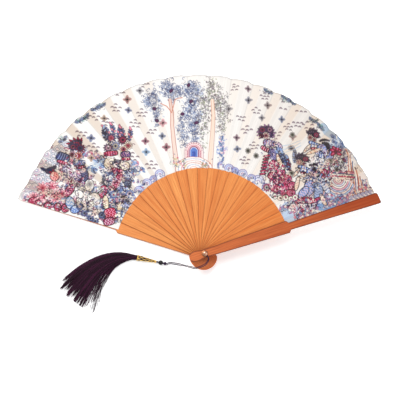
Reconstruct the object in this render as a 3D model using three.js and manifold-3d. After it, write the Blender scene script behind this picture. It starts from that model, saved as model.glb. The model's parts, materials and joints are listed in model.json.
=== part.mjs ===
import * as THREE from "three";
import { mergeVertices } from "three/addons/utils/BufferGeometryUtils.js";
import Module from "manifold-3d";

// Sandalwood folding fan, lying open on its back: +Y runs from the pivot to the middle of the leaf,
// +Z up through the rivet, origin on the underside of the rivet foot. Sizes in millimetres, angles in
// degrees; a stick's own frame has its centre line along +Y.

// Driving sizes of the fan
const stick_count = 19; // sticks between the two guards
const open_angle = 144; // between the centre lines of the two guards
const leaf_radius = 209; // pivot to the leaf's rim
const shoulder_radius = 97.5; // pivot to the end of the wide, bare part of a stick
const tail_length = 17.2; // pivot to the rounded tail end
const tail_width = 11.4;
const neck_width = 8.8; // at the pivot
const shoulder_width = 14;
const slip_width = 3.4; // the narrow part glued behind the leaf
const slip_end_short = 5; // the slip stops this far inside the rim
const arm_root_width = 8.2; // a guard's arm just past its shoulder
const arm_tip_width = 12.8;
const arm_overhang = 2; // a guard's tip past the leaf's rim
const guard_thickness = 2.2;
const stick_thickness = 0.8;
const slip_thickness = 0.45;
const leaf_thickness = 0.25;

// Driving sizes of the rivet and tassel
const pin_diameter = 3;
const dome_diameter = 5.6;
const dome_height = 1.9;
const foot_height = 0.7;
const washer_diameter = 6.8;
const washer_thickness = 0.4;
const cord_diameter = 0.9;
const knot_diameter = 3.6;
const bead_diameter = 5.3;
const cap_length = 21.5;
const cap_mouth_diameter = 6.8;
const cap_wall = 0.45;
const skirt_length = 84;
const skirt_end_width = 46;
const tassel_bearing = 168.5; // direction in which the bead and cap point away from the knot
const skirt_turn = 66; // how far the hanging threads curl away from that direction

// Clearances
const bore_play = 0.09; // radial, between the pin and every hole it passes through
const stack_gap = 0.2; // between one layer of the stack and the next
const glue_gap = 0.05; // between the leaf and the wood that carries it
const thread_gap = 0.15; // between neighbouring pieces of the tassel
const leaf_setback = 0.6; // from the shoulders to the leaf's inner edge
const bead_standoff = 0.5; // bare cord between the knot and the bead
const cap_standoff = 2.4; // bare cord between the bead and the cap

// Dependent sizes
const pitch_angle = open_angle / (stick_count + 1);
const bore_diameter = pin_diameter + 2 * bore_play;
const leaf_inner_radius = shoulder_radius + leaf_setback;
const arm_length = leaf_radius + arm_overhang;
const slip_length = leaf_radius - slip_end_short;
const layer_pitch = Math.max(stick_thickness, slip_thickness + glue_gap + leaf_thickness) + stack_gap;
const rear_guard_base = foot_height + stack_gap / 2;
const rear_guard_top = rear_guard_base + guard_thickness;
const first_stick_base = rear_guard_top + glue_gap + leaf_thickness + stack_gap;
const last_stick_base = first_stick_base + (stick_count - 1) * layer_pitch;
const front_leaf_base = last_stick_base + layer_pitch;
const front_guard_base = front_leaf_base + leaf_thickness + glue_gap;
const front_guard_top = front_guard_base + guard_thickness;
const washer_base = front_guard_top + stack_gap / 2;
const neck_base = washer_base + washer_thickness;
const neck_height = 2 * cord_diameter + stack_gap;
const dome_base = neck_base + neck_height;
const knot_reach = 42.6; // pivot to knot, in plan
const knot_bearing = 193.4;
const bead_offset = (knot_diameter + bead_diameter) / 2 + bead_standoff;
const cap_offset = bead_offset + bead_diameter / 2 + cap_standoff;
const stem_diameter = 1.5 * cord_diameter;
const cap_neck_diameter = stem_diameter + 2 * (thread_gap + cap_wall);
const knot_height = bead_diameter / 2; // the bead rests on the table and lifts the knot beside it
const cap_rise = cap_mouth_diameter / 2 - knot_height;

const { Manifold, Mesh } = await Module().then((m) => (m.setup(), m));
const radians = THREE.MathUtils.degToRad;
const on_axis = new THREE.Vector3(0, 0, 1);

// One closed solid from an extruded or hand-built geometry, ready to be joined to another.
function to_solid(geometry) {
  const bare = new THREE.BufferGeometry();
  bare.setAttribute("position", geometry.getAttribute("position"));
  if (geometry.index) bare.setIndex(geometry.index);
  const welded = mergeVertices(bare, 1e-5);
  return new Manifold(new Mesh({
    numProp: 3,
    vertProperties: new Float32Array(welded.getAttribute("position").array),
    triVerts: new Uint32Array(welded.index.array),
  }));
}

function to_geometry(solid) {
  const mesh = solid.getMesh();
  const geometry = new THREE.BufferGeometry();
  geometry.setAttribute("position", new THREE.BufferAttribute(mesh.vertProperties, 3));
  geometry.setIndex(new THREE.BufferAttribute(mesh.triVerts, 1));
  const faceted = geometry.toNonIndexed();
  faceted.computeVertexNormals();
  return faceted;
}

function slab(shape, thickness, edge = 0) {
  return new THREE.ExtrudeGeometry(shape, {
    depth: thickness - 2 * edge,
    bevelEnabled: edge > 0,
    bevelThickness: edge,
    bevelSize: edge,
    bevelOffset: -edge,
    bevelSegments: 2,
    curveSegments: 10,
  }).translate(0, 0, edge);
}

// The bare part that every stick and guard shares: rounded tail, waist at the pivot, and a blade that
// widens to the shoulder. `beyond` draws whatever lies past the shoulder, from right to left.
function stick_shape(beyond) {
  const half_tail = tail_width / 2;
  const half_neck = neck_width / 2;
  const half_shoulder = shoulder_width / 2;
  const tail_shoulder = -tail_length + 0.62 * tail_width;
  const shape = new THREE.Shape();
  shape.moveTo(half_neck, 0);
  shape.lineTo(half_shoulder, shoulder_radius);
  beyond(shape);
  shape.lineTo(-half_shoulder, shoulder_radius);
  shape.lineTo(-half_neck, 0);
  shape.bezierCurveTo(-half_neck, -0.3 * tail_length, -half_tail, -0.3 * tail_length, -half_tail, tail_shoulder);
  shape.bezierCurveTo(-half_tail, -0.9 * tail_length, -0.6 * half_tail, -tail_length, 0, -tail_length);
  shape.bezierCurveTo(0.6 * half_tail, -tail_length, half_tail, -0.9 * tail_length, half_tail, tail_shoulder);
  shape.bezierCurveTo(half_tail, -0.3 * tail_length, half_neck, -0.3 * tail_length, half_neck, 0);
  const bore = new THREE.Path();
  bore.absarc(0, 0, bore_diameter / 2, 0, 2 * Math.PI, true);
  shape.holes.push(bore);
  return shape;
}

function guard_geometry() {
  const half_root = arm_root_width / 2;
  const half_tip = arm_tip_width / 2;
  return slab(stick_shape((shape) => {
    shape.lineTo(half_root, shoulder_radius + 0.4 * (shoulder_width - arm_root_width));
    shape.lineTo(half_tip, arm_length - 0.35 * arm_tip_width);
    shape.quadraticCurveTo(half_tip, arm_length, half_tip - 0.3 * arm_tip_width, arm_length);
    shape.lineTo(-half_tip + 0.15 * arm_tip_width, arm_length - 0.08 * arm_tip_width);
    shape.quadraticCurveTo(-half_tip, arm_length - 0.1 * arm_tip_width, -half_tip, arm_length - 0.35 * arm_tip_width);
    shape.lineTo(-half_root, shoulder_radius + 0.4 * (shoulder_width - arm_root_width));
  }), guard_thickness, 0.3);
}

// A stick is cut from one slat: the blade keeps the slat's thickness and the slip is shaved thinner.
function stick_geometry() {
  const blade = to_solid(slab(stick_shape(() => {}), stick_thickness));
  const slip = new THREE.Shape();
  slip.moveTo(slip_width / 2, shoulder_radius - slip_width);
  slip.lineTo(slip_width / 2, slip_length - slip_width / 2);
  slip.absarc(0, slip_length - slip_width / 2, slip_width / 2, 0, Math.PI, false);
  slip.lineTo(-slip_width / 2, shoulder_radius - slip_width);
  return to_geometry(blade.add(to_solid(slab(slip, slip_thickness))));
}

// The leaf is one pleated cloth; here it is divided where it folds, one gore to each stick or guard.
function gore_geometry(right_angle, left_angle) {
  const from = radians(90 - right_angle);
  const to = radians(90 + left_angle);
  const shape = new THREE.Shape();
  shape.absarc(0, 0, leaf_radius, from, to, false);
  shape.absarc(0, 0, leaf_inner_radius, to, from, true);
  return slab(shape, leaf_thickness);
}

function lathe(points, segments) {
  const profile = points.map(([radius, height]) => new THREE.Vector2(radius, height));
  return new THREE.LatheGeometry([...profile, profile[0]], segments).rotateX(Math.PI / 2);
}

// Foot, pin, bare neck for the cord and domed head, headed over in one piece.
function rivet_geometry() {
  const pin = pin_diameter / 2;
  const dome = dome_diameter / 2;
  const points = [[0, 0], [0.88 * dome, 0], [dome, 0.3 * foot_height], [dome, foot_height], [pin, foot_height]];
  points.push([pin, dome_base], [dome, dome_base]);
  for (const step of [15, 30, 45, 60, 75]) {
    const turn = radians(step);
    points.push([dome * Math.cos(turn), dome_base + dome_height * Math.sin(turn)]);
  }
  points.push([0, dome_base + dome_height]);
  return lathe(points, 24);
}

function ring_geometry(outer, inner, height) {
  return lathe([[inner, 0], [outer, 0], [outer, height], [inner, height]], 28);
}

// A ball threaded on the tassel's axis, its bore along Z.
function bead_geometry() {
  const ball = bead_diameter / 2;
  const bore = stem_diameter / 2 + thread_gap;
  const start = Math.asin(bore / ball);
  const points = [];
  for (let step = 0; step <= 10; step++) {
    const turn = start + (Math.PI - 2 * start) * (step / 10);
    points.push([ball * Math.sin(turn), -ball * Math.cos(turn)]);
  }
  return lathe(points, 22);
}

// The knot carries a short stem that runs on through the bead and into the cap.
function knot_geometry() {
  const ball = knot_diameter / 2;
  const stem = stem_diameter / 2;
  const meet = Math.asin(stem / ball);
  const points = [[0, -ball]];
  for (let step = 1; step <= 8; step++) {
    const turn = (Math.PI - meet) * (step / 8);
    points.push([ball * Math.sin(turn), -ball * Math.cos(turn)]);
  }
  points.push([stem, cap_offset + 0.2 * cap_length], [0, cap_offset + 0.2 * cap_length]);
  return lathe(points, 18);
}

function cap_geometry() {
  const mouth = cap_mouth_diameter / 2;
  const neck = cap_neck_diameter / 2;
  const profile = [[neck - cap_wall, 0], [neck, 0], [0.42 * mouth + 0.58 * neck, 0.45 * cap_length]];
  profile.push([0.92 * mouth, 0.9 * cap_length], [mouth, cap_length], [mouth - cap_wall, cap_length]);
  profile.push([0.92 * mouth - cap_wall, 0.9 * cap_length]);
  profile.push([0.42 * mouth + 0.58 * neck - cap_wall, 0.45 * cap_length]);
  return lathe(profile, 24);
}

const plan_point = (reach, bearing, height = 0) =>
  new THREE.Vector3(reach * Math.cos(radians(bearing)), reach * Math.sin(radians(bearing)), height);

const knot_centre = plan_point(knot_reach, knot_bearing, knot_height);
const tassel_run = Math.hypot(cap_offset + cap_length, cap_rise);
const tassel_direction = plan_point(cap_offset + cap_length, tassel_bearing, cap_rise).divideScalar(tassel_run);
const cap_mouth_centre = knot_centre.clone().addScaledVector(tassel_direction, cap_offset + cap_length);

// The bundle of threads: a flattened round that fans out, sinks to the table and curls sideways.
function skirt_geometry() {
  const around = 20;
  const along = 18;
  const root_radius = 0.9 * (cap_mouth_diameter / 2) - cap_wall - thread_gap;
  const centre = cap_mouth_centre.clone().addScaledVector(tassel_direction, -0.05 * cap_length);
  const positions = [];
  const faces = [];
  const sample = skirt_length / along;
  for (let row = 0; row <= along; row++) {
    const share = row / along;
    const bearing = radians(tassel_bearing + skirt_turn * Math.sin((share * Math.PI) / 2));
    const half_width = root_radius + (skirt_end_width / 2 - root_radius) * Math.max(0, share - 0.05);
    const half_height = root_radius * (1 + 0.5 * Math.sin(share * Math.PI) - 0.25 * share);
    const rise = Math.max(half_height, (1 - 4 * share) * centre.z);
    for (let turn = 0; turn < around; turn++) {
      const angle = (2 * Math.PI * turn) / around;
      const side = half_width * Math.cos(angle);
      positions.push(centre.x - side * Math.sin(bearing), centre.y + side * Math.cos(bearing));
      positions.push(rise + half_height * Math.sin(angle));
    }
    centre.x += sample * Math.cos(bearing);
    centre.y += sample * Math.sin(bearing);
  }
  for (let row = 0; row < along; row++) {
    for (let turn = 0; turn < around; turn++) {
      const next = (turn + 1) % around;
      const here = row * around;
      faces.push(here + turn, here + next, here + around + turn);
      faces.push(here + next, here + around + next, here + around + turn);
    }
  }
  for (let turn = 1; turn < around - 1; turn++) {
    faces.push(0, turn + 1, turn);
    faces.push(along * around, along * around + turn, along * around + turn + 1);
  }
  const geometry = new THREE.BufferGeometry();
  geometry.setAttribute("position", new THREE.BufferAttribute(new Float32Array(positions), 3));
  geometry.setIndex(faces);
  return to_geometry(to_solid(geometry));
}

// One of the two strands of the hanging loop: half a turn round the rivet's neck, across the tail of the
// front guard, down past the swing of the tails and along the table to the knot.
function strand_geometry(side, height) {
  const wrap = pin_diameter / 2 + cord_diameter / 2 + thread_gap;
  const above = front_guard_top + cord_diameter / 2 + stack_gap;
  const clear = tail_length + cord_diameter + 1;
  const spread = side * (cord_diameter / 2 + thread_gap);
  const level = cord_diameter / 2 + 0.1;
  const meet = knot_diameter / 2 + 2 * thread_gap;
  const points = [];
  for (const turn of side > 0 ? [75, 40, 5, -25] : [105, 150, 200, 245, 290]) {
    points.push(plan_point(wrap, turn, height));
  }
  points.push(plan_point(0.38 * clear - 0.6 + spread, -53, Math.max(height - 0.3, above)));
  points.push(plan_point(0.58 * clear - 0.5 + 1.2 * spread, -80, above));
  points.push(plan_point(0.76 * clear - 0.5 + 1.4 * spread, -103, above));
  points.push(plan_point(0.96 * clear + 1.2 * spread, -122, above - 0.1));
  points.push(plan_point(clear + 1.6 + 1.2 * spread, -136, above - 4.6));
  points.push(plan_point(clear + 3.4 + 1.2 * spread, -145, 0.5 * above));
  points.push(plan_point(clear + 6.2 + 1.3 * spread, -153, 0.19 * above));
  points.push(plan_point(0.66 * knot_reach, -158.2 + 3.2 * spread, 2.6 * level));
  points.push(plan_point(0.76 * knot_reach, -162.6 + 2.6 * spread, 1.3 * level));
  points.push(plan_point(0.88 * knot_reach, -165.9 + 1.8 * spread, 2.2 * level));
  const last = knot_centre.clone().addScaledVector(tassel_direction, -meet * Math.cos(0.4));
  last.addScaledVector(plan_point(1, tassel_bearing + 90), side * (cord_diameter / 2 + thread_gap));
  points.push(last);
  const round = new THREE.Shape();
  round.absarc(0, 0, cord_diameter / 2, 0, 2 * Math.PI, false);
  return new THREE.ExtrudeGeometry(round, {
    steps: 84,
    curveSegments: 8,
    bevelEnabled: false,
    extrudePath: new THREE.CatmullRomCurve3(points, false, "centripetal"),
  });
}

const fan = new THREE.Group();
fan.name = "folding_fan";

function add(name, geometry, colour, roughness = 0.6, metalness = 0) {
  const mesh = new THREE.Mesh(geometry, new THREE.MeshStandardMaterial({ color: colour, roughness, metalness }));
  mesh.name = name;
  fan.add(mesh);
  return mesh;
}

function set_at(mesh, base, turn) {
  mesh.position.z = base;
  mesh.rotation.z = radians(turn);
  return mesh;
}

const bearing_of = (layer) => open_angle / 2 - layer * pitch_angle; // from +Y, towards -X
const two_digits = (number) => String(number).padStart(2, "0");

// The two guards close the stack below and above
set_at(add("rear_guard", guard_geometry(), "#c9703c"), rear_guard_base, bearing_of(0));
set_at(add("front_guard", guard_geometry(), "#c2673a"), front_guard_base, bearing_of(stick_count + 1));

// Sticks, each lying on its neighbour to the left
for (let layer = 1; layer <= stick_count; layer++) {
  const base = first_stick_base + (layer - 1) * layer_pitch;
  set_at(add("stick_" + two_digits(layer), stick_geometry(), "#e8974f"), base, bearing_of(layer));
}

// Gores of the leaf, each on the slip of its stick; the last is glued under the front guard's arm
const rim_edge = (0.5 * arm_tip_width * 180) / (Math.PI * leaf_radius);
for (let layer = 0; layer <= stick_count + 1; layer++) {
  const right = layer > stick_count ? rim_edge * 0.8 : pitch_angle / 2;
  const left = layer === 0 ? rim_edge * 0.8 : pitch_angle / 2;
  let base = first_stick_base + (layer - 1) * layer_pitch + slip_thickness + glue_gap;
  if (layer === 0) base = rear_guard_top + glue_gap;
  if (layer > stick_count) base = front_leaf_base;
  set_at(add("leaf_gore_" + two_digits(layer), gore_geometry(right, left), "#efe9e0", 0.85), base, bearing_of(layer));
}

// Rivet and its washer
add("rivet", rivet_geometry(), "#d9b9a0", 0.3, 1);
const washer_bore = pin_diameter / 2 + bore_play;
add("rivet_washer", ring_geometry(washer_diameter / 2, washer_bore, washer_thickness), "#b98f5a", 0.35, 1)
  .position.z = washer_base;

// Hanging loop and tassel
add("cord_strand_a", strand_geometry(1, neck_base + 0.5 * cord_diameter + 0.05), "#2a1a2e", 0.8);
add("cord_strand_b", strand_geometry(-1, neck_base + 1.5 * cord_diameter + 0.15), "#2a1a2e", 0.8);

const upright_to_tassel = new THREE.Quaternion().setFromUnitVectors(on_axis, tassel_direction);
function add_on_tassel(name, geometry, colour, offset, roughness, metalness) {
  const mesh = add(name, geometry, colour, roughness, metalness);
  mesh.quaternion.copy(upright_to_tassel);
  mesh.position.copy(knot_centre).addScaledVector(tassel_direction, offset);
}
add_on_tassel("cord_knot", knot_geometry(), "#2a1a2e", 0, 0.8, 0);
add_on_tassel("tassel_bead", bead_geometry(), "#120d14", bead_offset, 0.25, 0);
add_on_tassel("tassel_cap", cap_geometry(), "#c9a24b", cap_offset, 0.35, 1);
add("tassel_skirt", skirt_geometry(), "#2e1526", 0.8);

export default fan;
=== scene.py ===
import json
from math import cos, degrees, hypot, pi, radians, sin, sqrt
import bpy
import numpy as np
from mathutils import Matrix, Vector


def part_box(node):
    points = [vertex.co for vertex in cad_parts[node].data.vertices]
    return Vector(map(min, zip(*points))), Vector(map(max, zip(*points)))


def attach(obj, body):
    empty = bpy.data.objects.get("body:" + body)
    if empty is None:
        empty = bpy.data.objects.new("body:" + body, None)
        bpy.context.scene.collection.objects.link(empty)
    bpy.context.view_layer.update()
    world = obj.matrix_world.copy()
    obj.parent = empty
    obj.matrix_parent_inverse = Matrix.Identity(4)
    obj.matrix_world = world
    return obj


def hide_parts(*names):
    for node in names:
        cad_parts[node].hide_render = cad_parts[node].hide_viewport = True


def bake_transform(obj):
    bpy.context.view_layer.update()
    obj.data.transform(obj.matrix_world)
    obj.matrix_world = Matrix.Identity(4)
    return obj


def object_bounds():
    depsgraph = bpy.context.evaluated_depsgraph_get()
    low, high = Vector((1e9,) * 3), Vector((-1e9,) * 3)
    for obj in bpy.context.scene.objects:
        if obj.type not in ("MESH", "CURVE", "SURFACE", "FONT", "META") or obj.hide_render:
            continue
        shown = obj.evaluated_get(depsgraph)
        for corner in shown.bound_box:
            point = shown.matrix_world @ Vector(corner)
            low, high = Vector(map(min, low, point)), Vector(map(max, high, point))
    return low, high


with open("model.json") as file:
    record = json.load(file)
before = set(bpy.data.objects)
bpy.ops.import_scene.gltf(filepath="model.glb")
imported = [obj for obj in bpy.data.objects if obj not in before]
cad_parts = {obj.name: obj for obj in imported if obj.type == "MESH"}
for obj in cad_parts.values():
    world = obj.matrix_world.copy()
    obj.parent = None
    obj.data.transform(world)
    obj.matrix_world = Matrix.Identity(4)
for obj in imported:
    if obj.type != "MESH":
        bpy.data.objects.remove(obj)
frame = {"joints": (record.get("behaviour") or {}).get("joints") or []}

cad_low, cad_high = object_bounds()
scene = bpy.context.scene
mm = 0.001

# Camera: the open fan is looked down on from arm's length, from a little below and left of its middle.
eye = Vector((-0.0682, -0.0410, 0.5873))
looking = Vector((sin(radians(6.3)), sin(radians(9.95)), 0))
looking.z = -sqrt(1 - looking.x**2 - looking.y**2)
across = looking.cross(Vector((0, 1, 0))).normalized()
upward = across.cross(looking)
camera = bpy.data.objects.new("camera", bpy.data.cameras.new("camera"))
camera.data.sensor_width = 36
camera.data.lens = 47.3
camera.data.clip_start = 0.01
camera.matrix_world = Matrix.Translation(eye) @ Matrix((across, upward, -looking)).transposed().to_4x4()
scene.collection.objects.link(camera)
scene.camera = camera


# ---- Hanging cord ----
# One dark purple cord, looped round the rivet's neck and doubled down to the knot, spun from three
# plies. It crosses the front guard's tail, drops past the swing of the tails and lies on the table.
def linear(red, green, blue):
    """A colour given as 0 to 255 screen values, as the shader wants it."""
    srgb = np.array([red, green, blue]) / 255
    return tuple(np.where(srgb <= 0.04045, srgb / 12.92, ((srgb + 0.055) / 1.055) ** 2.4))


def new_material(name, colour, roughness, metallic=0.0, **sockets):
    material = bpy.data.materials.new(name)
    material.use_nodes = True
    shader = material.node_tree.nodes["Principled BSDF"]
    shader.inputs["Base Color"].default_value = (*linear(*colour), 1)
    shader.inputs["Roughness"].default_value = roughness
    shader.inputs["Metallic"].default_value = metallic
    for socket, value in sockets.items():
        shader.inputs[socket.replace("_", " ")].default_value = value
    return material, material.node_tree.nodes, material.node_tree.links, shader


def node(nodes, kind, **settings):
    made = nodes.new(kind)
    for setting, value in settings.items():
        if setting in made.bl_rna.properties:
            setattr(made, setting, value)
        else:
            made.inputs[setting.replace("_", " ")].default_value = value
    return made


def mix_colours(nodes, links, share, first, second, mode="MIX"):
    """A Mix node on colours; each input is a socket or a plain colour, and the result socket comes back."""
    mixed = nodes.new("ShaderNodeMix")
    mixed.data_type = "RGBA"
    mixed.blend_type = mode
    for place, value in ((0, share), (6, first), (7, second)):
        if isinstance(value, bpy.types.NodeSocket):
            links.new(value, mixed.inputs[place])
        else:
            mixed.inputs[place].default_value = value
    return mixed.outputs[2]


def bumped(nodes, links, shader, height, distance, strength=1.0):
    bump = node(nodes, "ShaderNodeBump", Distance=distance, Strength=strength)
    links.new(height, bump.inputs["Height"])
    links.new(bump.outputs["Normal"], shader.inputs["Normal"])


def mesh_object(name, points, faces, smooth=True, material=None):
    mesh = bpy.data.meshes.new(name)
    mesh.from_pydata([tuple(p) for p in points], [], [tuple(int(i) for i in f) for f in faces])
    mesh.polygons.foreach_set("use_smooth", [smooth] * len(mesh.polygons))
    if material:
        mesh.materials.append(material)
    made = bpy.data.objects.new(name, mesh)
    scene.collection.objects.link(made)
    return made


def store(mesh, name, kind, values, field):
    layer = mesh.attributes.new(name, kind, "POINT")
    layer.data.foreach_set(field, np.asarray(values, dtype=np.float32).ravel())


def plan_point(reach, bearing, height=0.0):
    return np.array([reach * cos(radians(bearing)), reach * sin(radians(bearing)), height])


def smooth_route(points, per_span=14):
    """A centripetal Catmull-Rom line through the points."""
    points = np.array(points)
    points = np.vstack([2 * points[0] - points[1], points, 2 * points[-1] - points[-2]])
    line = []
    for a, b, c, d in zip(points, points[1:], points[2:], points[3:]):
        knots = np.cumsum([0] + [max(1e-9, np.linalg.norm(q - p)) ** 0.5 for p,
                                 q in ((a, b), (b, c), (c, d))])
        for t in np.linspace(knots[1], knots[2], per_span, endpoint=False):
            ab = (a * (knots[1] - t) + b * (t - knots[0])) / (knots[1] - knots[0])
            bc = (b * (knots[2] - t) + c * (t - knots[1])) / (knots[2] - knots[1])
            cd = (c * (knots[3] - t) + d * (t - knots[2])) / (knots[3] - knots[2])
            abc = (ab * (knots[2] - t) + bc * (t - knots[0])) / (knots[2] - knots[0])
            bcd = (bc * (knots[3] - t) + cd * (t - knots[1])) / (knots[3] - knots[1])
            line.append((abc * (knots[2] - t) + bcd * (t - knots[1])) / (knots[2] - knots[1]))
    line.append(points[-2])
    return np.array(line)


def even_spacing(line, count):
    run = np.concatenate([[0], np.cumsum(np.linalg.norm(np.diff(line, axis=0), axis=1))])
    wanted = np.linspace(0, run[-1], count)
    return np.stack([np.interp(wanted, run, line[:, i]) for i in range(3)], 1), run[-1]


def line_frames(line):
    """Two directions square to the line at each of its points, carried along it without twisting."""
    ahead = np.gradient(line, axis=0)
    ahead /= np.linalg.norm(ahead, axis=1)[:, None]
    side = np.cross(ahead[0], [0.1, 0.2, 1.0])
    sides = []
    for heading in ahead:
        side = side - heading * side.dot(heading)
        side /= np.linalg.norm(side)
        sides.append(side)
    sides = np.array(sides)
    return sides, np.cross(ahead, sides)


def grid_faces(rows, columns, closed=True):
    faces = []
    for row in range(rows - 1):
        for column in range(columns if closed else columns - 1):
            beside = (column + 1) % columns
            faces.append((row * columns + column, row * columns + beside,
                          (row + 1) * columns + beside, (row + 1) * columns + column))
    return faces


def spun_cord(name, line, diameter, material, plies=3, lay=3.4, around=18):
    """A closed tube along the line whose section is a turning group of plies; `lay` is in diameters."""
    sides, tops = line_frames(line)
    run = np.concatenate([[0], np.cumsum(np.linalg.norm(np.diff(line, axis=0), axis=1))])
    turn = np.linspace(0, 2 * pi, around, endpoint=False)
    twist = 2 * pi * run / (lay * diameter)
    ply = np.abs(np.cos(plies / 2 * (turn[None, :] - twist[:, None])))
    reach = diameter / 2 * (0.80 + 0.20 * ply)
    points = line[:, None] + reach[..., None] * (
        np.cos(turn)[None, :, None] * sides[:, None] + np.sin(turn)[None, :, None] * tops[:, None])
    faces = grid_faces(len(line), around)
    faces.append(tuple(range(around))[::-1])
    faces.append(tuple((len(line) - 1) * around + i for i in range(around)))
    made = mesh_object(name, points.reshape(-1, 3), faces, True, material)
    made.data.polygons[-1].use_smooth = made.data.polygons[-2].use_smooth = False
    # ply is 1 on each ply's crest and 0 in the groove between plies; the thread material darkens the grooves
    # with it as painted shade
    store(made.data, "ply", "FLOAT", ply, "value")
    return made


def thread_material(name, dark, light, roughness, fine):
    """Silky spun thread: dark where ply is low, which on spun cord is painted shade in the grooves between
    plies, with hair-fine streaks of a lighter tone.
    """
    material, nodes, links, shader = new_material(name, dark, roughness, Sheen_Weight=0.06,
                                                  Sheen_Roughness=0.4)
    shader.inputs["Specular IOR Level"].default_value = 0.16
    place = node(nodes, "ShaderNodeTexCoord")
    streaks = node(nodes, "ShaderNodeTexNoise", Scale=fine, Detail=3.0, Roughness=0.6)
    links.new(place.outputs["Object"], streaks.inputs["Vector"])
    ply = node(nodes, "ShaderNodeAttribute", attribute_name="ply")
    spread = node(nodes, "ShaderNodeMapRange", From_Min=0.35, From_Max=0.75)
    links.new(streaks.outputs["Fac"], spread.inputs["Value"])
    # the lighter streaks scale with ply, so the grooves of spun cord keep the dark tone as painted shade
    share = node(nodes, "ShaderNodeMath", operation="MULTIPLY")
    links.new(spread.outputs["Result"], share.inputs[0])
    links.new(ply.outputs["Fac"], share.inputs[1])
    links.new(mix_colours(nodes, links, share.outputs[0], (*linear(*dark), 1), (*linear(*light), 1)),
              shader.inputs["Base Color"])
    bumped(nodes, links, shader, streaks.outputs["Fac"], 0.00004)
    return material


pin_radius, cord_diameter, tail_length = 1.5, 0.9, 17.2
guard_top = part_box("front_guard")[1].z / mm
neck_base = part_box("rivet_washer")[1].z / mm
knot_reach, knot_bearing, knot_radius, bead_radius = 42.6, 193.4, 1.8, 2.65
bead_offset, cap_offset, cap_length, cap_mouth = 4.95, 10.0, 21.5, 3.4
tassel_bearing = 168.5
knot_centre = plan_point(knot_reach, knot_bearing, bead_radius)
tassel_way = plan_point(cap_offset + cap_length, tassel_bearing, cap_mouth - bead_radius)
tassel_way = tassel_way / np.linalg.norm(tassel_way)
thread_gap = 0.15


def strand_route(side, height):
    """The route of one side of the loop, in millimetres, as its CAD strand has it."""
    wrap = pin_radius + cord_diameter / 2 + thread_gap
    above = guard_top + cord_diameter / 2 + 0.2
    clear = tail_length + cord_diameter + 1
    spread = side * (cord_diameter / 2 + thread_gap)
    level = cord_diameter / 2 + 0.1
    points = [plan_point(wrap, turn, height)
              for turn in ((75, 40, 5, -25) if side > 0 else (105, 150, 200, 245, 290))]
    points.append(plan_point(0.38 * clear - 0.6 + spread, -53, max(height - 0.3, above)))
    points.append(plan_point(0.58 * clear - 0.5 + 1.2 * spread, -80, above))
    points.append(plan_point(0.76 * clear - 0.5 + 1.4 * spread, -103, above))
    points.append(plan_point(0.96 * clear + 1.2 * spread, -122, above - 0.1))
    points.append(plan_point(clear + 1.6 + 1.2 * spread, -136, above - 4.6))
    points.append(plan_point(clear + 3.4 + 1.2 * spread, -145, 0.5 * above))
    points.append(plan_point(clear + 6.2 + 1.3 * spread, -153, 0.19 * above))
    points.append(plan_point(0.66 * knot_reach, -158.2 + 3.2 * spread, 2.6 * level))
    points.append(plan_point(0.76 * knot_reach, -162.6 + 2.6 * spread, 1.3 * level))
    points.append(plan_point(0.88 * knot_reach, -165.9 + 1.8 * spread, 2.2 * level))
    last = knot_centre - tassel_way * (knot_radius + 2 * thread_gap) * cos(0.4)
    points.append(last + plan_point(side * (cord_diameter / 2 + thread_gap), tassel_bearing + 90))
    return points


cord_thread = thread_material("cord thread", (26, 15, 32), (78, 52, 88), 0.55, 5200)
for name, side, height in (("cord_strand_a", 1, neck_base + 0.5 * cord_diameter + 0.05),
                           ("cord_strand_b", -1, neck_base + 1.5 * cord_diameter + 0.15)):
    line, run = even_spacing(smooth_route(strand_route(side, height)) * mm, 420)
    strand = spun_cord("spun_" + name[5:], line, cord_diameter * mm, cord_thread)
    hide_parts(name)
    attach(strand, "tassel")


# ---- Knot, bead and gold cap ----
# The doubled cord is tied in a round knot, runs through a glossy black bead and ends in a long
# cone of gold openwork, pressed over the bound head of the tassel.
def along_tassel(offset):
    return (knot_centre + tassel_way * offset) * mm


tassel_side = np.cross([0, 0, 1], tassel_way)
tassel_side /= np.linalg.norm(tassel_side)
tassel_top = np.cross(tassel_way, tassel_side)


def turned(name, profile, around, material, ripple=None):
    """A closed turned piece on the tassel's axis from (radius, offset) pairs, both in millimetres."""
    points = []
    for radius, offset in profile:
        for turn in np.linspace(0, 2 * pi, around, endpoint=False):
            reach = radius * (1 + (ripple(turn, offset) if ripple else 0)) * mm
            points.append(along_tassel(offset) + reach * (cos(turn) * tassel_side + sin(turn) * tassel_top))
    faces = grid_faces(len(profile), around)
    faces.append(tuple(range(around))[::-1])
    faces.append(tuple((len(profile) - 1) * around + i for i in range(around)))
    made = mesh_object(name, points, faces, True, material)
    made.data.polygons[-1].use_smooth = made.data.polygons[-2].use_smooth = False
    return made


def ball_profile(radius, centre, bore=0.0, steps=28):
    start = np.arcsin(bore / radius) if bore else 0.06
    return [(radius * sin(a), centre - radius * cos(a)) for a in np.linspace(start, pi - start, steps)]


knot = turned("tied_knot", ball_profile(knot_radius, 0, steps=40), 48, cord_thread,
              lambda turn, offset: 0.13 * abs(sin(2 * turn + 2.2 * offset)) - 0.09)
store(knot.data, "ply", "FLOAT", [0.3 + 0.7 * abs(sin(i * 0.7)) for i in range(len(knot.data.vertices))],
      "value")
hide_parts("cord_knot")
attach(knot, "tassel")
stem_line = np.array([along_tassel(t) for t in np.linspace(1.2, cap_offset + 2.5, 60)])
stem = spun_cord("cord_stem", stem_line, 1.95 * mm, cord_thread, plies=2, lay=2.6)
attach(stem, "tassel")

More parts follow.
